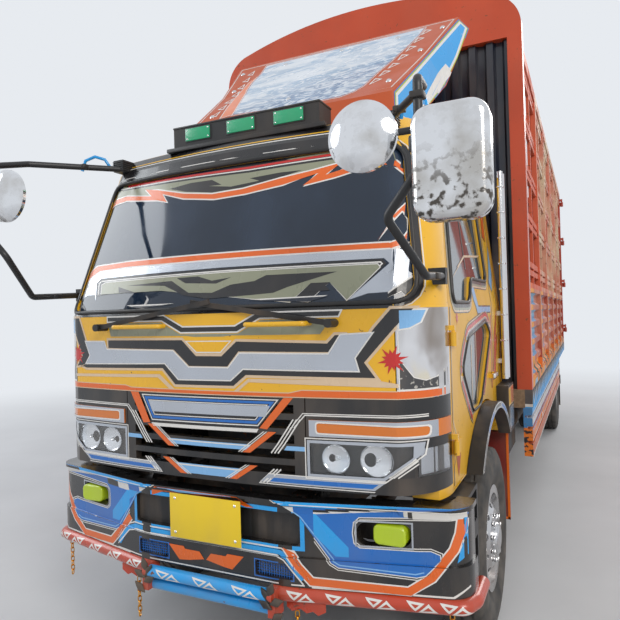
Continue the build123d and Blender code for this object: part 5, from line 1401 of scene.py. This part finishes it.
# back wall stripe of the cab behind the door
rear = sideways(mm(1575, 1340, 1815, 1340, 1815, 2480, 1595, 2480))
rearLayers = [("quarter_edge", [rear, grown(rear, -0.007)], "black", 0), ("quarter_line",
    [grown(rear, -0.012), grown(rear, -0.018)], "cream", 0)]
for name, outline, finish in (("flame", mm(1600, 1380, 1680, 1380, 1790, 1620, 1720, 1580, 1780, 1800,
        1660, 1620), "red"), ("arrow", mm(1620, 1950, 1700, 1900, 1790, 2020, 1790, 2200, 1700, 2050),
        "paleBlue"), ("bolt", mm(1630, 2250, 1720, 2230, 1790, 2420, 1700, 2400), "orange")):
    outline = sideways(outline)
    rearLayers += [(f"{name}_edge", grown(outline, 0.007), "black", 1), (name, outline, finish, 2)]
for side, tag in sides:
    layUp(flareLayers, "arch_flares", "{}_" + tag, side=side, columns=0.1)
    layUp(blockLayers, "arch_flares", "{}_" + tag, side=side)
    for rung in range(7):
        z = 1.445 + rung * 0.17
        box(f"vane_strip_{rung}_{tag}", (1.08, 1.088), (1.874, 1.911), (z, z + 0.105), 0.002,
            ("orange", "cream", "brick")[rung % 3], side=side)
        box(f"vane_clip_{rung}_{tag}", (1.062, 1.106), (1.829, 1.871), (z + 0.125, z + 0.137), 0.002,
            "chrome", side=side)
    layUp(rearLayers, "cab_body", "rear_{}_" + tag, side=side, rows=0.1)
print("flares and vanes dressed")

# Mirrors
for side, tag in sides:
    square = rectangle(*sorted((side * 1.125, side * 1.325)), 2.08, 2.4)
    vinyl(f"mirror_glass_{tag}", rounded(square, 0.045), "mirrors", "mirrorGlass")
    # the driver's glass is on the rear face of its head
    bpy.context.object.data.transform(Matrix.Translation((0, 0.0827, 0)))
    box(f"mirror_socket_{tag}", (1.086, 1.156), (-0.389, -0.282), (2.292, 2.348), 0.01, "wornChrome",
        side=side, segments=3)
    for number in range(5):
        z = 2.63 + number * 0.0115
        box(f"mirror_rib_{number}_{tag}", (0.756, 0.834), (0.316, 0.414), (z, z + 0.0065), 0.002,
            "blackPlastic", side=side)
    for number, (x, back, z) in enumerate(((1.1, -0.3, 2.5), (1.1, -0.3, 2.2), (0.9, 0.17, 2.634),
            (1.046, 0.08, 1.921))):
        box(f"mirror_clamp_{number}_{tag}", (x - 0.024, x + 0.024), (back - 0.024, back + 0.024),
            (z - 0.012, z + 0.012), 0.005, "blackPlastic", side=side, segments=3)
    bead(f"mirror_handle_{tag}", [(side * x, aft(back), z) for x, back, z in ((0.86, 0.335, 2.65),
        (0.875, 0.3, 2.7), (0.925, 0.275, 2.718), (0.985, 0.262, 2.7), (1.0, 0.25, 2.64))], 0.009,
        "skyBlue", closed=False)
    roundOutline = [(side * 0.905 + 0.108 * math.cos(math.tau * step / 32), 2.39 + 0.108
        * math.sin(math.tau * step / 32)) for step in range(32)]
    flatSheet(f"mirror_round_glass_{tag}", roundOutline, -0.299, 0.0015, "mirrorGlass", "cab")
print("mirrors dressed")

# Mudflaps, rear lamps and doors
toRear = Matrix.Rotation(rightAngle, 4, "Z")
lensProfile = mm(0, 0, 0, 46, 4, 46, 6, 41, 9, 24, 9.5, 0)
for side, tag in sides:
    for name, x, z in (("flap_edge", 1.074, 0.955), ("flap_foot", 0.802, 0.398)):
        box(f"{name}_{tag}", (x, 1.0895), (1.8575, 1.8595), (0.382, z), 0.0008, "hotOrange", "chassis",
            side, 1)
    box(f"tail_lamp_case_{tag}", (0.69, 1.045), (8.497, 8.509), (0.512, 0.628), 0.004, "chassisBlack",
        "chassis", side)
    for name, x, finish in (("red", 0.975, "redLens"), ("amber", 0.865, "amberLens"),
            ("clear", 0.755, "clearGlass")):
        spun(f"tail_{name}_{tag}", lensProfile, (side * x, aft(8.5045), 0.57), finish, "chassis", 60,
            turn=toRear)
    for number in range(3):
        x = 0.16 + number * 0.165
        box(f"tail_reflector_{number}_{tag}", (x, x + 0.135), (8.4995, 8.503), (0.54, 0.6), 0.001, "cream"
            if number % 2 else "redLens", "chassis", side)
    for number, back in enumerate((3.0, 4.4, 5.8)):
        box(f"side_reflector_{number}_{tag}", (1.219, 1.2245), (back, back + 0.09), (0.868, 0.912), 0.0015,
            "amberLens", "chassis", side)
    for zLow, zHigh in ((1.3, 1.95), (2.03, 2.79), (2.87, 3.55)):
        for fromX, toX in ((0.1, 0.53), (0.63, 1.115)):
            x, z = side * (fromX + toX) / 2, (zLow + zHigh) / 2
            reach = min(toX - fromX, zHigh - zLow) / 2 - 0.03
            diamond = [(x, z + reach * 1.25), (x - reach * 0.7, z), (x, z - reach * 1.25),
                (x + reach * 0.7, z)]
            for layer, (by, finish) in enumerate(((0, "cream"), (-0.018, "deepBlue"), (-0.055, "yellow"))):
                flatSheet(f"tail_diamond_{tag}_{int(zLow * 100)}_{int(fromX * 100)}_{layer}",
                    grown(diamond, by), 8.4256 + layer * 0.0004, 0.0003, finish, f"tail_door_{tag}", 0)
box("tail_plate", (-0.26, 0.26), (8.4995, 8.5035), (0.648, 0.722), 0.0015, "plateYellow", "chassis")
box("tail_plate_stay", (-0.1, 0.1), (8.484, 8.4998), (0.612, 0.7), 0.002, "chassisBlack", "chassis")
print("tail dressed")


# Seats: padded cushions with a cloth pass
seatSet = {"gap": 0.0035, "cap": 0.016, "pressure": 4.0, "frames": 14, "cuts": 12, "block": 0.95}


def cushion(name, low, high, flat):
    # a crowned closed pad; flat is the axis and end that rests on something
    clearSelection()
    middle = [(a + b) / 2 for a, b in zip(low, high)]
    bpy.ops.mesh.primitive_cube_add(size=1, location=middle)
    pad = named(name)
    pad.scale = [(b - a) * seatSet["block"] for a, b in zip(low, high)]
    settle(pad)
    editMode()
    selectAll()
    bpy.ops.mesh.subdivide(number_cuts=seatSet["cuts"])
    selectAll()
    bpy.ops.mesh.vertices_smooth(factor=0.5, repeat=5)
    objectMode()
    start = [vertex.co.copy() for vertex in pad.data.vertices]
    clothing = pad.modifiers.new("cloth", "CLOTH")
    settings = clothing.settings
    for setting, value in (("quality", 4), ("mass", 0.3), ("tension_stiffness", 12),
            ("compression_stiffness", 12), ("shear_stiffness", 6), ("bending_stiffness", 0.6),
            ("use_pressure", True), ("uniform_pressure_force", seatSet["pressure"])):
        setattr(settings, setting, value)
    settings.effector_weights.gravity = 0
    clothing.point_cache.frame_start = 1
    clothing.point_cache.frame_end = seatSet["frames"]
    scene = bpy.context.scene
    for frameNumber in range(1, seatSet["frames"] + 1):
        scene.frame_set(frameNumber)
    applyAll(pad)
    scene.frame_set(1)
    axis, end = flat
    for vertex, before in zip(pad.data.vertices, start):
        move = vertex.co - before
        if move.length > seatSet["cap"]:
            vertex.co = before + move * (seatSet["cap"] / move.length)
        for number in range(3):
            vertex.co[number] = min(max(vertex.co[number], low[number] + seatSet["gap"]),
                high[number] - seatSet["gap"])
        rest = low[axis] + 0.001 if end < 0 else high[axis] - 0.001
        if abs(before[axis] - rest) < 0.03:
            vertex.co[axis] = rest
    # sewn channels run along the pad
    for vertex in pad.data.vertices:
        reach = (vertex.co.x - middle[0]) / (high[0] - low[0])
        groove = max(0.0, 1 - abs(abs(reach) - 0.24) / 0.035)
        if groove and abs(vertex.co[axis] - (low[axis] if end < 0 else high[axis])) > 0.035:
            inward = Vector(middle) - vertex.co
            inward.x = 0
            if inward.length > 1e-4:
                vertex.co += inward.normalized() * 0.01 * groove
    finer = pad.modifiers.new("finer", "SUBSURF")
    finer.levels = 1
    finer.render_levels = 1
    applyAll(pad)
    smooth(pad, 80)
    wear(pad, "cloth", "cab")
    return pad


pads = []
for name, x, width in (("driver", -0.66, 0.46), ("middle", -0.02, 0.42), ("mate", 0.66, 0.46)):
    low, high = x - width / 2, x + width / 2
    pads.append(cushion(f"seat_base_{name}", (low, aft(1.12), 1.42), (high, aft(1.578), 1.54), (2, -1)))
    pads.append(cushion(f"seat_back_{name}", (low, aft(1.582), 1.442), (high, aft(1.7), 2.16), (1, 1)))
    # piping round the cushion's front edge
    bead(f"seat_piping_{name}", [(low + 0.03, aft(1.128), 1.5), (x, aft(1.1235), 1.502),
        (high - 0.03, aft(1.128), 1.5)], 0.0035, "cream", closed=False)
    box(f"seat_pan_{name}", (low + 0.012, high - 0.012), (1.132, 1.572), (1.4205, 1.424) if name == "middle"
        else (1.405, 1.4195), 0.003, "blackPlastic")
for side, tag in ((1, "mate"), (-1, "driver")):
    box(f"seat_stand_{tag}", (0.482, 0.838), (1.16, 1.592), (1.272, 1.404), 0.006, "interior", side=side)
    for height in (1.3, 1.372):
        box(f"seat_rail_{tag}_{int(height * 1000)}", (0.492, 0.828), (1.1565, 1.1605),
            (height, height + 0.012), 0.001, "chassisBlack", side=side)
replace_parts(pads[0], "seats")
print("seats padded")

# Cab inside: dials, lever, pedals, mats
box("dial_hood", (-0.7, -0.235), (0.318, 0.352), (1.64, 1.786), 0.012, "interior", segments=3)
for number, (x, z, size) in enumerate(((-0.56, 1.715, 0.058), (-0.425, 1.715, 0.058), (-0.33, 1.715, 0.028),
        (-0.33, 1.668, 0.028))):
    rim = [(0.0, 0), (0.0, size), (0.006, size), (0.008, size * 0.93), (0.003, size * 0.9), (0.0028, 0)]
    face = [(0.0026, 0), (0.0026, size * 0.88), (0.0042, size * 0.88), (0.0042, 0)]
    for part, profile, finish in (("rim", rim, "chrome"), ("face", face, "black")):
        spun(f"dial_{part}_{number}", profile, (x, aft(0.3525), z), finish, angle=40, turn=toRear)
    box(f"dial_hand_{number}", (x - 0.0015, x + 0.0015), (0.3568, 0.3576), (z, z + size * 0.7), 0.0004,
        "orange", segments=1)
bead("gear_lever", [(-0.2, aft(0.83), 1.424), (-0.205, aft(0.815), 1.52), (-0.215, aft(0.79), 1.64),
    (-0.22, aft(0.78), 1.7)], 0.0085, "chrome", closed=False)
dome("gear_knob", (-0.221, aft(0.779), 1.722), 0.03, 0.027, "Z", "blackPlastic")
bootProfile = mm(0, 0, 0, 75, 12, 72, 20, 58, 30, 60, 40, 44, 52, 44, 62, 28, 78, 24, 90, 12, 92, 0)
spun("gear_boot", bootProfile, (-0.2, aft(0.828), 1.4215), "sealRubber", angle=50,
    turn=Matrix.Rotation(-rightAngle, 4, "Y"))
for number, x in enumerate((-0.64, -0.52, -0.445)):
    box(f"pedal_{number}", (x - 0.032, x + 0.032), (0.392, 0.408), (1.13, 1.215), 0.005, "sealRubber")
    bead(f"pedal_arm_{number}", [(x, aft(0.388), 1.175), (x, aft(0.345), 1.33), (x, aft(0.325), 1.478)],
        0.008, "chassisBlack", closed=False)
for side, tag in sides:
    box(f"floor_mat_{tag}", (0.47, 0.94), (0.43, 0.56), (1.0425, 1.0505), 0.003, "sealRubber", side=side)
print("cab inside made")


# Floor, light and camera
backdrop = {"colour": (0.8, 0.83, 0.87), "near": 4.5, "far": 13.0, "air": (0.8, 0.84, 0.92),
    "strength": 0.62}


def seenDirectly():
    # 1 where the eye, a mirror or glass looks, 0 for light that bounces
    paths = newNode("LightPath").outputs
    return most(most(paths["Is Camera Ray"], paths["Is Glossy Ray"]), paths["Is Transmission Ray"])


def floorFinish():
    # pale floor that fades into the backdrop far out
    material, shader = startFinish("floorPale")
    colour = blend(between(noise(0.6, 5.0), 0.3, 0.7), (0.6, 0.6, 0.6), (0.66, 0.66, 0.66))
    feedAll(shader, {"Base Color": colour, "Roughness": between(noise(4.0, 4.0), 0.3, 0.7, 0.75, 0.9)})
    bumpFrom(shader, noise(60.0, 4.0), 0.1, 0.002)
    glow = newNode("Emission", {"Color": backdrop["colour"]})
    reach = newNode("VectorMath", {0: place()}, operation="LENGTH").outputs["Value"]
    far = between(reach, backdrop["near"], backdrop["far"])
    join = newNode("MixShader", {0: times(far, seenDirectly()), 1: shader.outputs[0], 2: glow.outputs[0]})
    feed(tree.nodes["Material Output"].inputs[0], join.outputs[0])
    return material


clearSelection()
bpy.ops.mesh.primitive_plane_add(size=120, location=(0, 0, 0))
floor = settle(named("studioFloor"))
floor.data.materials.append(floorFinish())

world = bpy.data.worlds.new("studioAir")
bpy.context.scene.world = world
world.use_nodes = True
tree = world.node_tree
tree.nodes.clear()
air = newNode("Background", {"Color": backdrop["air"], "Strength": backdrop["strength"]})
behind = newNode("Background", {"Color": backdrop["colour"], "Strength": 1.0})
join = newNode("MixShader", {0: seenDirectly(), 1: air.outputs[0], 2: behind.outputs[0]})
newNode("OutputWorld", {0: join.outputs[0]})

lamps = {"key": ((7.5, -9.5, 7.0), 5.0, 620.0, (1.0, 0.96, 0.9)), "fill": ((-9.0, -6.0, 6.0), 6.0, 360.0,
    (0.92, 0.96, 1.0)), "back": ((4.0, 10.0, 9.0), 6.0, 420.0, (1.0, 0.98, 0.95))}
for lampName, (spot, size, power, tint) in lamps.items():
    clearSelection()
    bpy.ops.object.light_add(type="AREA", location=spot)
    lamp = bpy.context.object
    lamp.name = lampName + "Lamp"
    lamp.data.shape = "DISK"
    lamp.data.size = size
    lamp.data.energy = power
    lamp.data.color = tint
    lamp.rotation_euler = (Vector((0, 0, 1.6)) - Vector(spot)).to_track_quat("-Z", "Y").to_euler()

cameraPlace = {"x": 1.586, "y": -6.217, "z": 1.786, "yaw": 25.51, "pitch": 0.39, "roll": -1.6,
    "lens": 33.68}
clearSelection()
bpy.ops.object.camera_add(location=(0, 0, 0))
camera = bpy.context.object
camera.name = "photoCamera"
yaw, pitch, roll = (math.radians(cameraPlace[key]) for key in ("yaw", "pitch", "roll"))
ahead = Vector((-math.sin(yaw) * math.cos(pitch), math.cos(yaw) * math.cos(pitch), math.sin(pitch)))
level = Vector((math.cos(yaw), math.sin(yaw), 0))
above = level.cross(ahead)
across = math.cos(roll) * level + math.sin(roll) * above
upright = -math.sin(roll) * level + math.cos(roll) * above
turn = Matrix((across, upright, -ahead)).transposed().to_4x4()
camera.matrix_world = Matrix.Translation((cameraPlace["x"], cameraPlace["y"], cameraPlace["z"])) @ turn
camera.data.sensor_width = 36
camera.data.lens = cameraPlace["lens"]
camera.data.clip_end = 200
bpy.context.scene.camera = camera
bpy.context.scene.view_settings.view_transform = "Standard"

bpy.data.objects.remove(surfaces["nose"])
clearSelection()
print("vinyl pieces:", vinylCount)
